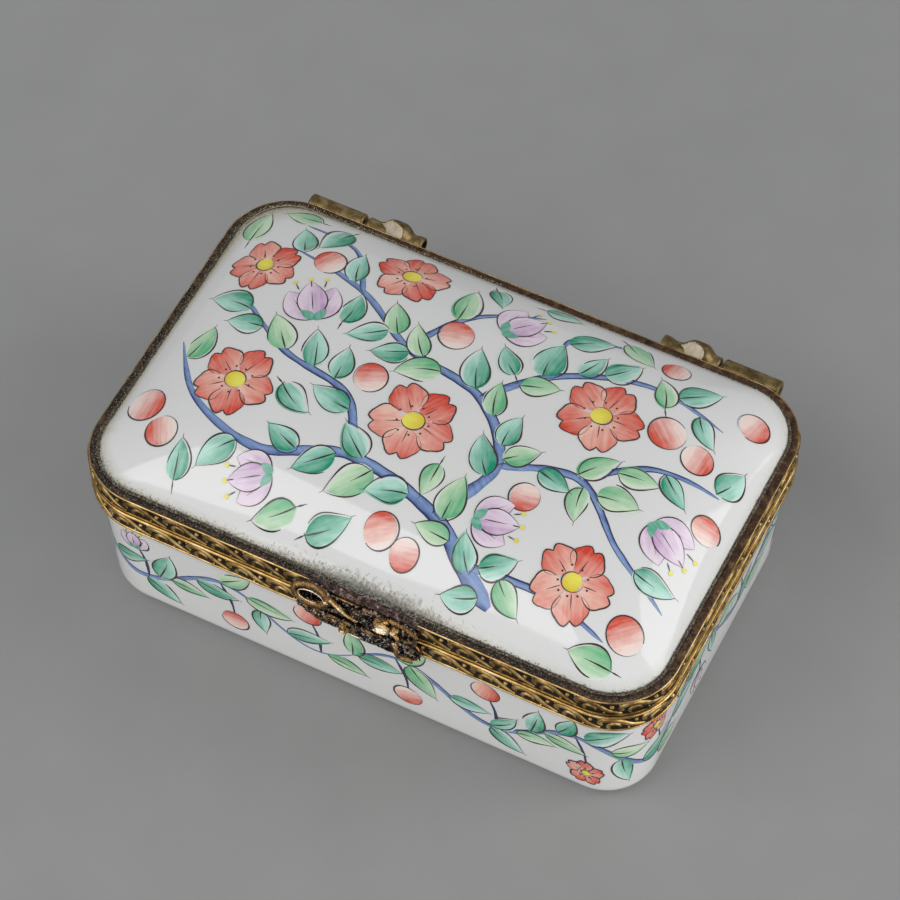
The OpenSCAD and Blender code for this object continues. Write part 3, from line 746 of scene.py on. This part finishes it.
stemLines = []
for points, wide, narrow in lidArt["stems"]:
    stemLines.append(smoothPath(points, 22))
    paintStem(lidSheet, stemLines[-1], wide, narrow)
leafCount = 0
for line in stemLines:
    walked, side = 0.0, dice.choice((-1, 1))
    for k in range(1, len(line)):
        dx, dy = line[k][0] - line[k - 1][0], line[k][1] - line[k - 1][1]
        walked += hypot(dx, dy)
        if walked < 1.2:
            continue
        walked = 0.0
        for trial in range(6):
            side = -side
            angle = atan2(dy, dx) + side * between(0.5, 1.25)
            length = between(4.1, 5.7)
            if growLeaf(lidSheet, "stem", onLidField, onward(line[k], angle, 0.4), angle, length):
                leafCount += 1
                break
for x in range(-31, 32, 2):  # loose leaves in the bare places
    for y in range(-19, 20, 2):
        angle, length = between(0, 6.28), between(4.0, 5.2)
        if growLeaf(lidSheet, "loose", onLidField, (x, y), angle, length):
            stalk = [onward((x, y), angle, -q) for q in (0, 0.4, 0.8, 1.2)]
            brushLine(lidSheet, stalk, 0.18, layers["leaf"])
            leafCount += 1
for x, y, r in lidArt["berries"]:
    paintBerry(lidSheet, (x, y), r)
for root, angle, size in lidArt["bells"]:
    paintBell(lidSheet, root, angle, size)
for x, y, r in lidArt["roses"]:
    paintRose(lidSheet, (x, y), r)
finishSheet(lidSheet, "lidPainting", "lid")
print("lid painted,", leafCount, "leaves")

# running vine round the box
wallArt = {"waves": 10, "middle": 9.6, "swing": 3.0, "low": 3.4, "high": 16.4}
wallSheet = newSheet(onWall, 1.2)
pitch = perimeter / wallArt["waves"]


def vineHeight(s):
    return wallArt["middle"] + wallArt["swing"] * sin(2 * pi * s / pitch) + 0.7 * ripple(s, 5, 14)


def onWallField(s, z):
    return wallArt["low"] < z < wallArt["high"]


vine = [(perimeter * k / 400, vineHeight(perimeter * k / 400)) for k in range(401)]
paintStem(wallSheet, vine, 0.8, 0.8)
taken = []
for n in range(wallArt["waves"]):
    crest, trough = (n + 0.25) * pitch, (n + 0.75) * pitch
    for s, z, stem, up in ((crest + 0.8, 5.6, crest - 0.6, -1), (trough - 0.6, 14.0, trough + 0.8, 1)):
        spot = (s, z + 0.5 * ripple(s, 9, 9))
        taken.append((*spot, 2.3))
        top = vineHeight(stem)
        stalk = smoothPath([spot, ((s + stem) / 2 + 0.5, (spot[1] + top) / 2), (stem, top)], 6)
        brushLine(wallSheet, stalk[::-1], 0.34, layers["stem"], "navy")
        if n % 3 == 1:
            paintRose(wallSheet, spot, 2.5)
        elif n % 3 == 0:
            paintBerry(wallSheet, spot, 1.7, "coral" if up > 0 else "blush")
        else:
            paintBell(wallSheet, (spot[0], spot[1] - 1.6 * up), 1.57 * up, 3.4)
wallLeaves = 0
for k in range(0, 400, 3):
    s, height = vine[k]
    for side in (1, -1) if k % 2 else (-1, 1):
        lean = atan2(vineHeight(s + 0.5) - height, 0.5) + side * between(0.5, 0.95)
        length = between(4.4, 6.0)
        wallLeaves += growLeaf(wallSheet, "wall", onWallField, (s, height + side * 0.2), lean, length)
finishSheet(wallSheet, "boxPainting", "box")
print("box painted,", wallLeaves, "leaves")

# brass mounts: stamped strip folded into channels
strip = {"thick": 0.6, "flange": 0.45, "lip": 0.4, "ledge": 1.05, "ledgeThick": 0.4, "slack": 0.2,
         "ease": 0.05}
inside = -strip["thick"]
lipBack = -box["inset"] - box["wall"] - strip["slack"]
lipFace = lipBack - strip["lip"]
boxFlange = boxTop - strip["flange"]
boxChannel = [(0, boxLow), (0, boxTop), (lipFace, boxTop), (lipFace, lipLow),
              (lipBack, lipLow), (lipBack, boxFlange), (inside, boxFlange), (inside, boxLow)]
flangeIn = -dome["inset"] - dome["thick"]
lidFlange = lidLow + strip["flange"]
ledgeIn, ledgeLow = -strip["ledge"], lidTop - strip["ledgeThick"]
lidChannel = [(0, lidLow), (0, lidTop), (ledgeIn, lidTop), (ledgeIn, ledgeLow),
              (inside, ledgeLow), (inside, lidFlange), (flangeIn, lidFlange), (flangeIn, lidLow)]


def makeChannel(name, profile, body, node, sideSlots):
    eased, slots = [], []
    for k, a in enumerate(profile):  # each side of the section gets crisp, slightly eased corners
        a, b = Vector(a), Vector(profile[(k + 1) % len(profile)])
        ease = min(strip["ease"] / (b - a).length, 0.2)
        eased += [tuple(a.lerp(b, q)) for q in (ease, 0.5, 1 - ease)]
        slots += [sideSlots[k]] * 3
    verts, faces = sweepRing(
        eased, 360, lambda s, j: (0.02 * ripple(s, j % 3, 6), 0.02 * ripple(s, 4 + j % 3, 5)))
    slots *= len(faces) // len(slots)
    makePiece(name, verts, faces, [patinaAndBoreShade, ledge, innerBrass], body, [node], slots)


makeChannel("boxBand", boxChannel, "box", "base_band", (0, 2, 2, 2, 2, 2, 2, 2))
makeChannel("lidBand", lidChannel, "lid", "lid_band", (0, 1, 1, 2, 2, 2, 2, 2))

wires = [  # name, body, node, radius, middle height, finish
    ("boxMouthWire", "box", "base_mouth_wire", 0.23, boxTop - 0.25, wireBrass),
    ("boxEdgeWire", "box", "base_edge_wire", 0.14, boxLow + 0.15, wireBrass),
    ("lidMouthWire", "lid", "lid_mouth_wire", 0.15, lidLow + 0.2, bronze),
    ("lidEdgeWire", "lid", "lid_edge_wire", 0.13, lidTop - 0.14, wireBrass)]
for seed, (name, body, node, r, z, finish) in enumerate(wires):
    half = [(r * cos(radians(a)), z + r * sin(radians(a))) for a in range(-84, 85, 24)]
    half = [(-0.03, z - r)] + half + [(-0.03, z + r)]
    verts, faces = sweepRing(
        half, 420, lambda s, j: (0.02 * ripple(s, seed, 3) - 0.012, 0.018 * ripple(s, 6 + seed, 4)))
    makePiece(name, verts, faces, [finish], body, [node])
print("bands and wires swept")

# chased scroll between the wires: a row of commas, a hook under each and a berry after it
scroll = {
    "repeats": 44,
    "comma": [(0.03, -0.3, 0.15), (-0.03, 0.2, 0.22), (0.08, 0.75, 0.3), (0.27, 0.86, 0.33),
              (0.48, 0.4, 0.28), (0.7, -0.35, 0.23), (1.0, -0.92, 0.16)],
    "hook": [(0.2, -0.95, 0.13), (0.17, -0.4, 0.18), (0.27, 0.05, 0.2), (0.4, -0.12, 0.16),
             (0.44, -0.5, 0.1)],
    "berries": [(0.78, 0.5, 0.3), (0.95, 0.9, 0.14), (0.62, -0.8, 0.16)],
}  # share of the repeat, share of the height, radius in mm


def addTube(verts, faces, path, radii, sides=6):
    first, count = len(verts), len(path)
    for k in range(count):
        spot, normal = onBand(*path[k])
        ahead, behind = [onBand(*p)[0] for p in beside(path, k)]
        sideways = (ahead - behind).normalized().cross(normal).normalized()
        for j in range(sides):
            a = 2 * pi * j / sides
            verts.append(spot + (normal * cos(a) + sideways * sin(a) * 1.35) * radii[k])
    addStrips(faces, first, count, sides)
    addEnds(faces, first, count, sides)


def addBead(verts, faces, s, out, z, r):
    first = len(verts)
    spot, normal = onBand(s, out, z)
    sideways = Vector((0, 0, 1)).cross(normal)
    for i in range(1, 4):
        lat = pi * i / 4
        for j in range(6):
            a = 2 * pi * j / 6
            rim = sideways * cos(a) + Vector((0, 0, sin(a)))
            verts.append(spot + normal * cos(lat) * r + rim * sin(lat) * r)
    verts += [spot + normal * r, spot - normal * r]
    addStrips(faces, first, 3, 6)
    for j in range(6):
        faces.append((first + j, first + (j + 1) % 6, first + 18))
        faces.append((first + 12 + j, first + 12 + (j + 1) % 6, first + 19))


def chaseScroll(name, body, low, high, phase, finish):
    verts, faces = [], []
    middle, swing = (low + high) / 2, (high - low) / 2 - 0.1
    wave = perimeter / scroll["repeats"]
    for n in range(scroll["repeats"]):
        start = (n + phase) * wave + between(-0.05, 0.05)
        for part in ("comma", "hook"):
            line = smoothPath([(start + wave * u, middle + swing * v, r) for u, v, r in scroll[part]], 4)
            addTube(verts, faces, [(s, -0.05, z) for s, z, r in line], [r for s, z, r in line])
        for u, v, r in scroll["berries"]:
            addBead(verts, faces, start + wave * u, 0.0, middle + swing * v, r * between(0.85, 1.1))
    makePiece(name, verts, faces, [finish], body)


chaseScroll("boxScroll", "box", boxLow + 0.24, boxTop - 0.44, 0.0, gilt)
chaseScroll("lidScroll", "lid", lidLow + 0.32, lidTop - 0.24, 0.45, duskBrass)
print("scroll chased")

# cement bead, and crumbs, paste and lint along the upper ledge
bead = {"crumbs": 6500, "dust": 9000, "fibres": 2600, "spread": 0.3}
pile = {"x": claspX + 0.6, "half": 6.9, "y": -22.0, "deep": 0.95, "height": 0.42}
cementSection = [  # the bead is the part from the fourth point to the eighth
    (inside, lidFlange), (inside, ledgeLow), (ledgeIn, ledgeLow), (ledgeIn, lidTop + 0.04),
    (-1.12, lidTop + 0.13), (-1.2, lidTop + 0.16), (-1.28, lidTop + 0.17), (-1.36, lidTop + 0.15),
    (-dome["inset"], lidTop - 0.2), (-dome["inset"], dome["edge"]), (flangeIn, dome["edge"]),
    (flangeIn, lidFlange)]


def crumble(s, j):
    if 3 <= j <= 7:
        shift = min(edgeShift(s), bead["spread"])
        return shift + 0.06 * ripple(s, j, 0.45) - 0.02, 0.1 * ripple(s, 20 + j, 0.35)
    return 0, 0


def mound(x, y):  # dirt heaped on the ledge behind the bow
    along = max(0.0, 1 - abs((x - pile["x"]) / pile["half"]) ** 3)
    across = max(0.0, 1 - ((y - pile["y"]) / pile["deep"]) ** 2)
    return pile["height"] * along * across ** 0.7 * (1 + 0.5 * noiseAt(x * 0.9, y * 0.9, 7))


def ledgeHeight(out):
    return lidTop + (0.02 if out > ledgeIn else 0.1 + max(0, -dome["inset"] - out) * 1.25)


def addGrain(verts, faces, spot, r):  # uneven eight-sided grain
    first = len(verts)
    for d in ((1, 0, 0), (-1, 0, 0), (0, 1, 0), (0, -1, 0), (0, 0, 1), (0, 0, -1)):
        verts.append(spot + Vector(d) * r * between(0.7, 1.3))
    for a, b, c in ((0, 2, 4), (2, 1, 4), (1, 3, 4), (3, 0, 4), (2, 0, 5), (1, 2, 5), (3, 1, 5), (0, 3, 5)):
        faces.append((first + a, first + b, first + c))


verts, faces = sweepRing(cementSection, 1200, crumble)
makePiece("lidCement", verts, faces, [soil], "lid", ["lid_cement"])
verts, faces = [], []
for n in range(bead["crumbs"]):
    s = between(0, perimeter)
    if dice.random() > 0.3 + 0.65 * max(cos(2 * pi * (s + 22) / perimeter), -0.35):
        continue
    shift = min(edgeShift(s), bead["spread"])
    out = between(-1.3, -0.3) if dice.random() < 0.65 else shift - 1.2 - abs(dice.gauss(0, 0.14))
    r = between(0.03, 0.08)
    addGrain(verts, faces, onBand(s, out, ledgeHeight(out - shift))[0], r)
makePiece("ledgeCrumbs", verts, faces, [soil], "lid")
verts, faces = [], []
for n in range(bead["dust"]):  # grains of the pale paste, where the dome meets the ledge
    s = -between(34, 104)
    spot, normal = onBand(s, -dome["inset"], lidTop)
    spot = settle(spot, 1)
    crust = pasteAt(spot.x, spot.y)
    if dice.random() > 0.25 + crust:
        continue
    out = dice.gauss(0.1 - 0.2 * crust, 0.12 + 0.14 * crust)
    r = between(0.025, 0.06)
    addGrain(verts, faces, spot + normal * out + Vector((0, 0, 0.02 + max(0.0, -out) * 1.44)), r)
makePiece("ledgePaste", verts, faces, [paste], "lid")
verts, faces = [], []
for n in range(bead["fibres"]):  # lint caught along the front, thickest above the clasp
    s = dice.gauss(pile["x"], 4.2) if n % 4 else between(-34, 12)
    out = -max(0.45, dice.gauss(1.2, 0.42)) if n % 4 else -0.9 - abs(dice.gauss(0, 0.25))
    turn, length, r = between(0, 6.28), between(0.14, 0.34), between(0.014, 0.024)
    first = len(verts)
    for k in range(4):
        t = k / 3 - 0.5
        reach = min(out + sin(turn) * length * t, -0.4)
        along = s + cos(turn) * length * t + 0.05 * sin(3 * t + n)
        lie = ledgeHeight(reach - edgeShift(along)) + mound(along, -band["width"] / 2 - reach)
        spot = onBand(along, reach, lie + 0.02 + 0.07 * cos(3 * t) * dice.random())[0]
        verts += [spot + Vector((r, 0, 0)), spot + Vector((-r / 2, r, 0)), spot + Vector((-r / 2, 0, r))]
    addStrips(faces, first, 4, 3)
makePiece("ledgeLint", verts, faces, [lint], "lid")
print("cement and crumbs laid")

# clasp: a cast ribbon bow on the lid over two leaves on the box
clasp = {"x": claspX, "plane": 22.7}


def front(x, z, depth):
    return Vector((clasp["x"] + x, -(clasp["plane"] + depth), z))


def newCast():
    return {"verts": [], "faces": [], "wear": [], "flat": set()}


def castTube(cast, path, radii, bright, flat=1.0, sides=10, wrap=False):
    first, count = len(cast["verts"]), len(path)
    for k in range(count):
        here = path[k]
        ahead, behind = [front(*p) for p in beside(path, k, wrap)]
        along = (ahead - behind).normalized()
        sideways = along.cross(Vector((0, -1, 0))).normalized()
        lift = sideways.cross(along).normalized()
        for j in range(sides):
            a = 2 * pi * j / sides
            r = radii[k] * (1 + 0.14 * noiseAt(here[0] * 1.4, here[1] * 1.4, a * 0.9 + 4))
            cast["verts"].append(front(*here) + (sideways * cos(a) * flat + lift * sin(a)) * r)
            facing = sideways * cos(a) + lift * sin(a)
            # wear on the crown, with painted highlight on the sides facing up and forward
            cast["wear"].append(bright * max(0.0, facing.z * 0.66 - facing.y * 0.75) ** 1.4)
    addStrips(cast["faces"], first, count, sides, wrap)
    if not wrap:
        addEnds(cast["faces"], first, count, sides)


def castLeaf(cast, root, angle, length, width, height, depth, bright):
    verts, faces = cast["verts"], cast["faces"]
    first = len(verts)
    rows, across = 24, 13
    for layer in (1, 0):
        for i in range(rows + 1):
            u = i / rows
            half = width / 2 * max(sin(pi * (0.04 + 0.94 * u) ** 0.8), 0.05) ** 0.8
            half *= 1 + 0.13 * sin(u * pi * 11)
            for j in range(across):
                v = 2 * j / (across - 1) - 1
                x, z = onward(onward(root, angle, length * u), angle + pi / 2, half * v)
                crown = (1 - v * v) ** 0.5 * (0.55 + 0.45 * sin(pi * u))
                rib = cos(u * 34 - abs(v) * 6)
                vein = -0.25 * exp(-(v / 0.14) ** 2) + 0.16 * rib * (1 - abs(v)) * min(1, 4 * abs(v))
                lump = 0.08 * noiseAt(x * 2, z * 2, 1)
                verts.append(front(x, z, depth + (height * (crown + vein) + lump if layer else 0)))
                edge = max(0.0, (abs(v) - 0.75) / 0.25)
                cast["wear"].append(bright * max(0.75 * edge, 0.55 * max(rib, 0) * min(1, 3 * abs(v))))
    size = (rows + 1) * across
    addStrips(faces, first, rows + 1, across, closed=False)
    addStrips(faces, first + size, rows + 1, across, closed=False)
    border = [i * across for i in range(rows + 1)] + [rows * across + j for j in range(1, across)]
    border += [i * across + across - 1 for i in reversed(range(rows))] + list(reversed(range(1, across - 1)))
    for k, a in enumerate(border):
        b = border[(k + 1) % len(border)]
        faces.append((first + a, first + b, first + size + b, first + size + a))


def castLump(cast, centre, radii, height, depth, bright, facets=0):
    verts, faces = cast["verts"], cast["faces"]
    first, start = len(verts), len(faces)
    turns, rings = (facets, 3) if facets else (20, 7)
    for i in range(rings + 1):
        lat = pi / 2 * i / rings * 0.96
        for k in range(turns):
            a = 2 * pi * (k + 0.5 * (i % 2) * bool(facets)) / turns
            r = cos(lat) * (1 + 0.16 * noiseAt(cos(a) * 2, sin(a) * 2, i * 0.4 + centre[0]))
            tall = height * sin(lat) * (1 + 0.2 * noiseAt(centre[0] + cos(a), centre[1] + sin(a), 5))
            x, z = centre[0] + radii[0] * r * cos(a), centre[1] + radii[1] * r * sin(a)
            verts.append(front(x, z, depth + tall))
            # brighter towards the crown: wear on the high place and painted highlight
            cast["wear"].append(bright * (0.25 + 0.75 * i / rings))
    if not facets:
        addStrips(faces, first, rings + 1, turns)
    for i in range(rings if facets else 0):
        for k in range(turns):
            a, b = first + i * turns + k, first + i * turns + (k + 1) % turns
            c, d = a + turns, b + turns
            faces += [(a, b, c), (b, d, c)] if i % 2 else [(a, b, d), (a, d, c)]
    addEnds(faces, first, rings + 1, turns)
    if facets:
        cast["flat"].update(range(start, len(faces)))


def castPlate(cast, outline, depth, thick):
    first, count = len(cast["verts"]), len(outline)
    cx, cz = sum(p[0] for p in outline) / count, sum(p[1] for p in outline) / count
    for d, grow in ((depth, 1.0), (depth + thick * 0.7, 1.0), (depth + thick, 0.96)):
        cast["verts"] += [front(cx + (x - cx) * grow, cz + (z - cz) * grow, d) for x, z in outline]
        cast["wear"] += [0.5 * (grow == 1.0)] * count
    addStrips(cast["faces"], first, 3, count)
    addEnds(cast["faces"], first, 3, count)


def castRibbons(cast, ribbons):  # points with depth, start and end radius, brightness
    for points, wide, narrow, bright in ribbons:
        path = smoothPath(points, 7)
        castTube(cast, path, [wide + (narrow - wide) * k / len(path) for k in range(len(path))], bright, 0.85)


def finishCast(cast, name, body, node):
    piece = makePiece(name, cast["verts"], cast["faces"], [castBrass], body, [node])
    addField(piece.data, "wear", cast["wear"])
    for k in cast["flat"]:
        piece.data.polygons[k].use_smooth = False


def ovalLoop(x, z, rx, rz, depth, lean, count=40):
    turns = [2 * pi * k / count for k in range(count)]
    return [(x + rx * cos(a), z + rz * sin(a), depth - lean * sin(a)) for a in turns]


bow = newCast()
castPlate(bow, [(-7.0, 21.3), (-6.2, 20.98), (6.4, 20.98), (7.2, 21.3), (7.3, 22.6), (6.6, 23.3),
                (-6.6, 23.4), (-7.2, 22.8)], 0.02, 0.35)
castPlate(bow, [(-5.2, 21.75), (5.2, 21.75), (5.2, 22.95), (-5.2, 22.95)], -0.38, 0.4)
castTube(bow, ovalLoop(-5.2, 22.72, 2.0, 1.1, 0.66, 0.36), [0.52] * 40, 0.5, wrap=True)
castTube(bow, ovalLoop(-5.15, 22.66, 1.5, 0.66, 0.98, 0.24), [0.12] * 40, 1.0, sides=8, wrap=True)
castLump(bow, (-3.35, 22.75), (0.6, 0.5), 0.75, 0.5, 1.0, 6)
castRibbons(bow, [
    ([(-3.2, 23.1, 0.5), (-2.0, 22.6, 0.75), (-0.8, 21.9, 0.9), (0.4, 21.5, 0.8)], 0.42, 0.3, 0.8),
    ([(-6.9, 21.6, 0.5), (-4.6, 21.5, 0.75), (-2.2, 21.45, 0.7), (0.2, 21.42, 0.6)], 0.36, 0.3, 0.25),
    ([(4.0, 23.5, 0.3), (5.8, 23.55, 0.4), (7.1, 22.9, 0.55), (7.0, 21.9, 0.7), (5.9, 21.45, 0.8)],
     0.4, 0.34, 0.55),
    ([(4.6, 22.5, 0.9), (5.2, 22.0, 1.0), (5.3, 21.45, 0.9)], 0.42, 0.36, 0.9),
    ([(0.8, 23.3, 0.35), (2.2, 23.6, 0.3), (3.6, 23.3, 0.5)], 0.36, 0.3, 0.4),
    ([(5.7, 23.4, 0.5), (5.8, 22.9, 0.75), (5.7, 22.3, 0.7)], 0.24, 0.2, 0.7),
    ([(6.4, 23.3, 0.5), (6.5, 22.8, 0.7), (6.4, 22.2, 0.7)], 0.22, 0.2, 0.6)])
castLump(bow, (3.3, 22.55), (1.35, 1.1), 1.45, 0.35, 1.4, 6)
castLump(bow, (4.75, 22.75), (0.62, 0.55), 1.0, 0.4, 0.95)
castLump(bow, (0.7, 22.5), (1.7, 1.05), 0.95, 0.3, 0.2)
castLump(bow, (2.0, 21.7), (0.85, 0.5), 1.0, 0.3, 0.2, 6)
finishCast(bow, "claspBow", "lid", "clasp_bow")

keeper = newCast()
hem = [(-7.3, 19.9), (-6.6, 18.95), (-4.9, 18.15), (-3.1, 17.75), (-1.3, 17.4), (0.8, 17.3), (2.6, 17.5),
       (4.4, 17.55), (6.2, 17.5), (7.5, 18.2)]
castPlate(keeper, hem + [(7.6, 19.6), (7.0, 20.45), (-6.6, 20.5)], 0.02, 0.4)
castPlate(keeper, [(-3.2, 18.4), (3.2, 18.4), (3.2, 19.85), (-3.2, 19.85)], -0.38, 0.4)
castTube(keeper, smoothPath([(x, z, 0.4) for x, z in hem], 5), [0.15] * 46, 1.1, sides=8)
castLeaf(keeper, (-0.9, 18.6), pi - 0.16, 6.2, 2.3, 0.75, 0.3, 1.3)
castLeaf(keeper, (1.2, 18.4), 0.06, 6.2, 2.1, 0.65, 0.3, 0.55)
castLump(keeper, (-1.3, 18.75), (0.8, 0.7), 1.25, 0.3, 1.0, 6)
castLump(keeper, (1.7, 19.2), (2.0, 1.1), 1.15, 0.3, 0.1)
castRibbons(keeper, [
    ([(4.6, 20.3, 0.7), (5.1, 19.4, 1.0), (5.4, 18.5, 1.0), (6.9, 18.0, 0.7)], 0.46, 0.4, 0.8),
    ([(-6.5, 20.2, 0.5), (-3.5, 20.1, 0.7), (0.0, 20.15, 0.8), (3.5, 20.1, 0.7), (6.8, 20.15, 0.5)],
     0.3, 0.3, 0.3)])
finishCast(keeper, "claspKeeper", "box", "clasp_keeper")

# crust that has grown over the ledge behind the bow
crust = {"from": -6.6, "to": 7.8, "front": -22.8, "back": -20.9, "foot": -21.25, "columns": 150, "lines": 26}
columns, lines = crust["columns"], crust["lines"]
verts, faces = [], []
for i in range(columns + 1):
    x = clasp["x"] + crust["from"] + (crust["to"] - crust["from"]) * i / columns
    for j in range(lines + 1):
        y = crust["front"] + (crust["back"] - crust["front"]) * j / lines
        heap = mound(x, y)
        grain = 0.24 * noiseAt(x * 2.5, y * 2.5, 3) + 0.12 * noiseAt(x * 7, y * 7, 3)
        z = lidTop + max(0, y - crust["foot"]) * 1.3 + heap + grain * min(1, heap * 6) - 0.07
        verts.append(Vector((x, y, z)))
addStrips(faces, 0, columns + 1, lines + 1, closed=False)
makePiece("claspCrust", verts, faces, [rust], "lid")
print("clasp cast")

# hinges: plain tubes on the box, turned knuckles with a knop on the lid
hinge = {"y": 24.15, "z": 20.8, "radius": 1.25, "bore": 0.52, "inner": 14.95, "turned": 7.2, "gap": 0.15,
         "plain": 7.0, "leftKnop": 0.48, "rightKnop": 0.6}
web = {"root": 22.28, "flat": 23.6, "round": 24.2, "end": 24.4, "middle": 23.3, "ease": 0.25, "bevel": 0.12}


def turnedTube(side, x0, x1, radiusAt, mouth):
    count, turns = 110, 90
    angles = [2 * pi * j / turns for j in range(turns)]
    rings = []  # place along the axis, then radius and facet flag round the turn
    for k in range(count + 1):
        rings.append((x0 + (x1 - x0) * k / count, [radiusAt(k / count, a, side) for a in angles]))
    for x, r in ((x1, hinge["bore"]), (x0 + 0.9, hinge["bore"]), (x0 + 0.8, mouth * 0.9), (x0, mouth)):
        rings.append((x, [(r, False)] * turns))
    loops = [[Vector((side * x, hinge["y"] + r * cos(a), hinge["z"] + r * sin(a)))
              for a, (r, flat) in zip(angles, spots)] for x, spots in rings]
    verts, faces = loft(loops, wrap=True)
    slots = []  # tube, facet, or bore; the pale facet is partly painted highlight, the bore is near-black patina as painted shade
    for i, (x, spots) in enumerate(rings):
        after = rings[(i + 1) % len(rings)][1]
        bored = count < i < count + 4
        slots += [2 if bored else int(spots[j][1] and after[(j + 1) % turns][1]) for j in range(turns)]
    return verts, faces, slots


def addWeb(verts, faces, side, x0, x1, low, high):  # foot that joins a knuckle to the band
    first = len(verts)
    cy, cz = web["middle"], (low + high) / 2
    shape = [(web["root"], low), (web["flat"], low), (web["round"], low + web["ease"]), (web["end"], cz),
             (web["round"], high - web["ease"]), (web["flat"], high), (web["root"], high)]
    for x, grow in ((x0, 0.88), (x0 + web["bevel"], 1.0), (x1 - web["bevel"], 1.0), (x1, 0.88)):
        for y, z in shape:
            deep = y if y == web["root"] else cy + (y - cy) * grow
            verts.append(Vector((side * x, deep, cz + (z - cz) * grow)))
    addStrips(faces, first, 4, len(shape))
    addEnds(faces, first, 4, len(shape))


def plainRadius(t, a, side):
    inner, outer = t * hinge["plain"], (1 - t) * hinge["plain"]
    ease = 0.2 * max(0, 1 - inner / 0.3) ** 2 + 0.14 * max(0, 1 - outer / 0.2) ** 2
    return hinge["radius"] - ease + 0.012 * noiseAt(t * 9, cos(a), sin(a)), False


def knopRadius(t, a, side):
    inner, outer = t * hinge["turned"], (1 - t) * hinge["turned"]
    collar = exp(-(inner / 1.15) ** 6) + 0.6 * exp(-(outer / 1.1) ** 2)
    ease = 0.2 * max(0, 1 - outer / 0.3) ** 2 + 0.1 * max(0, 1 - inner / 0.14) ** 2
    waist = hinge["radius"] * (0.84 + 0.15 * min(collar, 1)) - ease
    middle = hinge["leftKnop"] if side < 0 else hinge["rightKnop"]
    knop = exp(-(abs(t - middle) / 0.23) ** 4)
    turn = (a - 1.3 + pi) % (2 * pi) - pi
    swell = max(0.0, cos(turn * 0.9)) ** 0.6 if abs(turn) < 1.74 else 0.0
    r = waist + knop * swell
    shift = (t - middle) * hinge["turned"] * side
    flat = 1.46 + 0.05 * side + 0.33 * shift  # worn on the upper left of the knop
    facet = flat / max(cos(a - 2.05), 0.05)
    return min(r, max(facet, waist)), waist < facet < r


lidRun = (hinge["inner"], hinge["inner"] + hinge["turned"] - 0.1)
boxStart = hinge["inner"] + hinge["turned"] + hinge["gap"]
boxRun = (boxStart + 0.1, boxStart + hinge["plain"])
knuckles = [  # name, body, node, foot from and to, along, section, mouth
    ("LidKnuckle", "lid", "_lid_knuckle", 20.95, 21.75, lidRun, knopRadius, 0.92),
    ("BoxKnuckle", "box", "_base_knuckle", 18.37, 19.87, boxRun, plainRadius, hinge["bore"])]
for side, tag in ((-1, "left"), (1, "right")):
    for name, body, node, low, high, (start, end), profile, mouth in knuckles:
        verts, faces, slots = turnedTube(side, start, end, profile, mouth)
        addWeb(verts, faces, side, start + 0.1, end - 0.1, low, high)
        slots += [0] * (len(faces) - len(slots))
        makePiece(tag + name, verts, faces, [hingeBrass, facetWearAndHighlight, patinaAndBoreShade], body, [tag + node], slots)
for name, finish in (("left_hinge_pin", hingeBrass), ("right_hinge_pin", hingeBrass),
                     ("catch_prong", innerBrass), ("catch_peg", innerBrass), ("base_cement", soil)):
    nodes[name].data.materials.clear()
    nodes[name].data.materials.append(finish)
print("hinges turned")

# floor and soft light
stage = {"floor": "#a0a09f", "mottle": "#989897", "size": 1600, "air": "#e6e8ea", "airStrength": 0.5}
ground, skin, add, place = newMaterial("paleFloor", {"Roughness": 0.85})
mottle = add("TexNoise", {"Scale": perMetre(9), "Detail": 4.0, "Vector": place})
shade = add("Mix", {"data_type": "RGBA", 6: stage["floor"], 7: stage["mottle"], 0: mottle})
setUp(skin, {"Base Color": shade})
half = stage["size"] / 2
corners = [(-half, -half, 0), (half, -half, 0), (half, half, 0), (-half, half, 0)]
floor = addObject("floor", newMesh("floor", corners, [(0, 1, 2, 3)], [ground]))

world = bpy.data.worlds.new("studio")
world.use_nodes = True
air = world.node_tree.nodes["Background"].inputs
air[0].default_value = hexColor(stage["air"])
air[1].default_value = stage["airStrength"]
scene.world = world


def softbox(name, direction, distance, sizeX, sizeY, power):
    data = bpy.data.lights.new(name, "AREA")
    data.shape = "RECTANGLE"
    data.size, data.size_y, data.energy = sizeX, sizeY, power
    lamp = addObject(name, data)
    way = Vector(direction).normalized()
    lamp.location = way * distance
    lamp.rotation_euler = way.to_track_quat("Z", "Y").to_euler()


softbox("frontSoftbox", (-0.36, -0.47, 0.78), 0.8, 0.5, 0.46, 1.58)
softbox("rightSoftbox", (0.742, 0.327, 0.587), 0.8, 0.36, 0.5, 1.2)
softbox("lowSoftbox", (-0.1, -0.95, 0.2), 0.75, 0.8, 0.36, 1.7)
softbox("sideSoftbox", (0.95, -0.1, 0.12), 0.75, 0.8, 0.2, 2.5)
scene.view_settings.view_transform = "Standard"
print("stage lit")
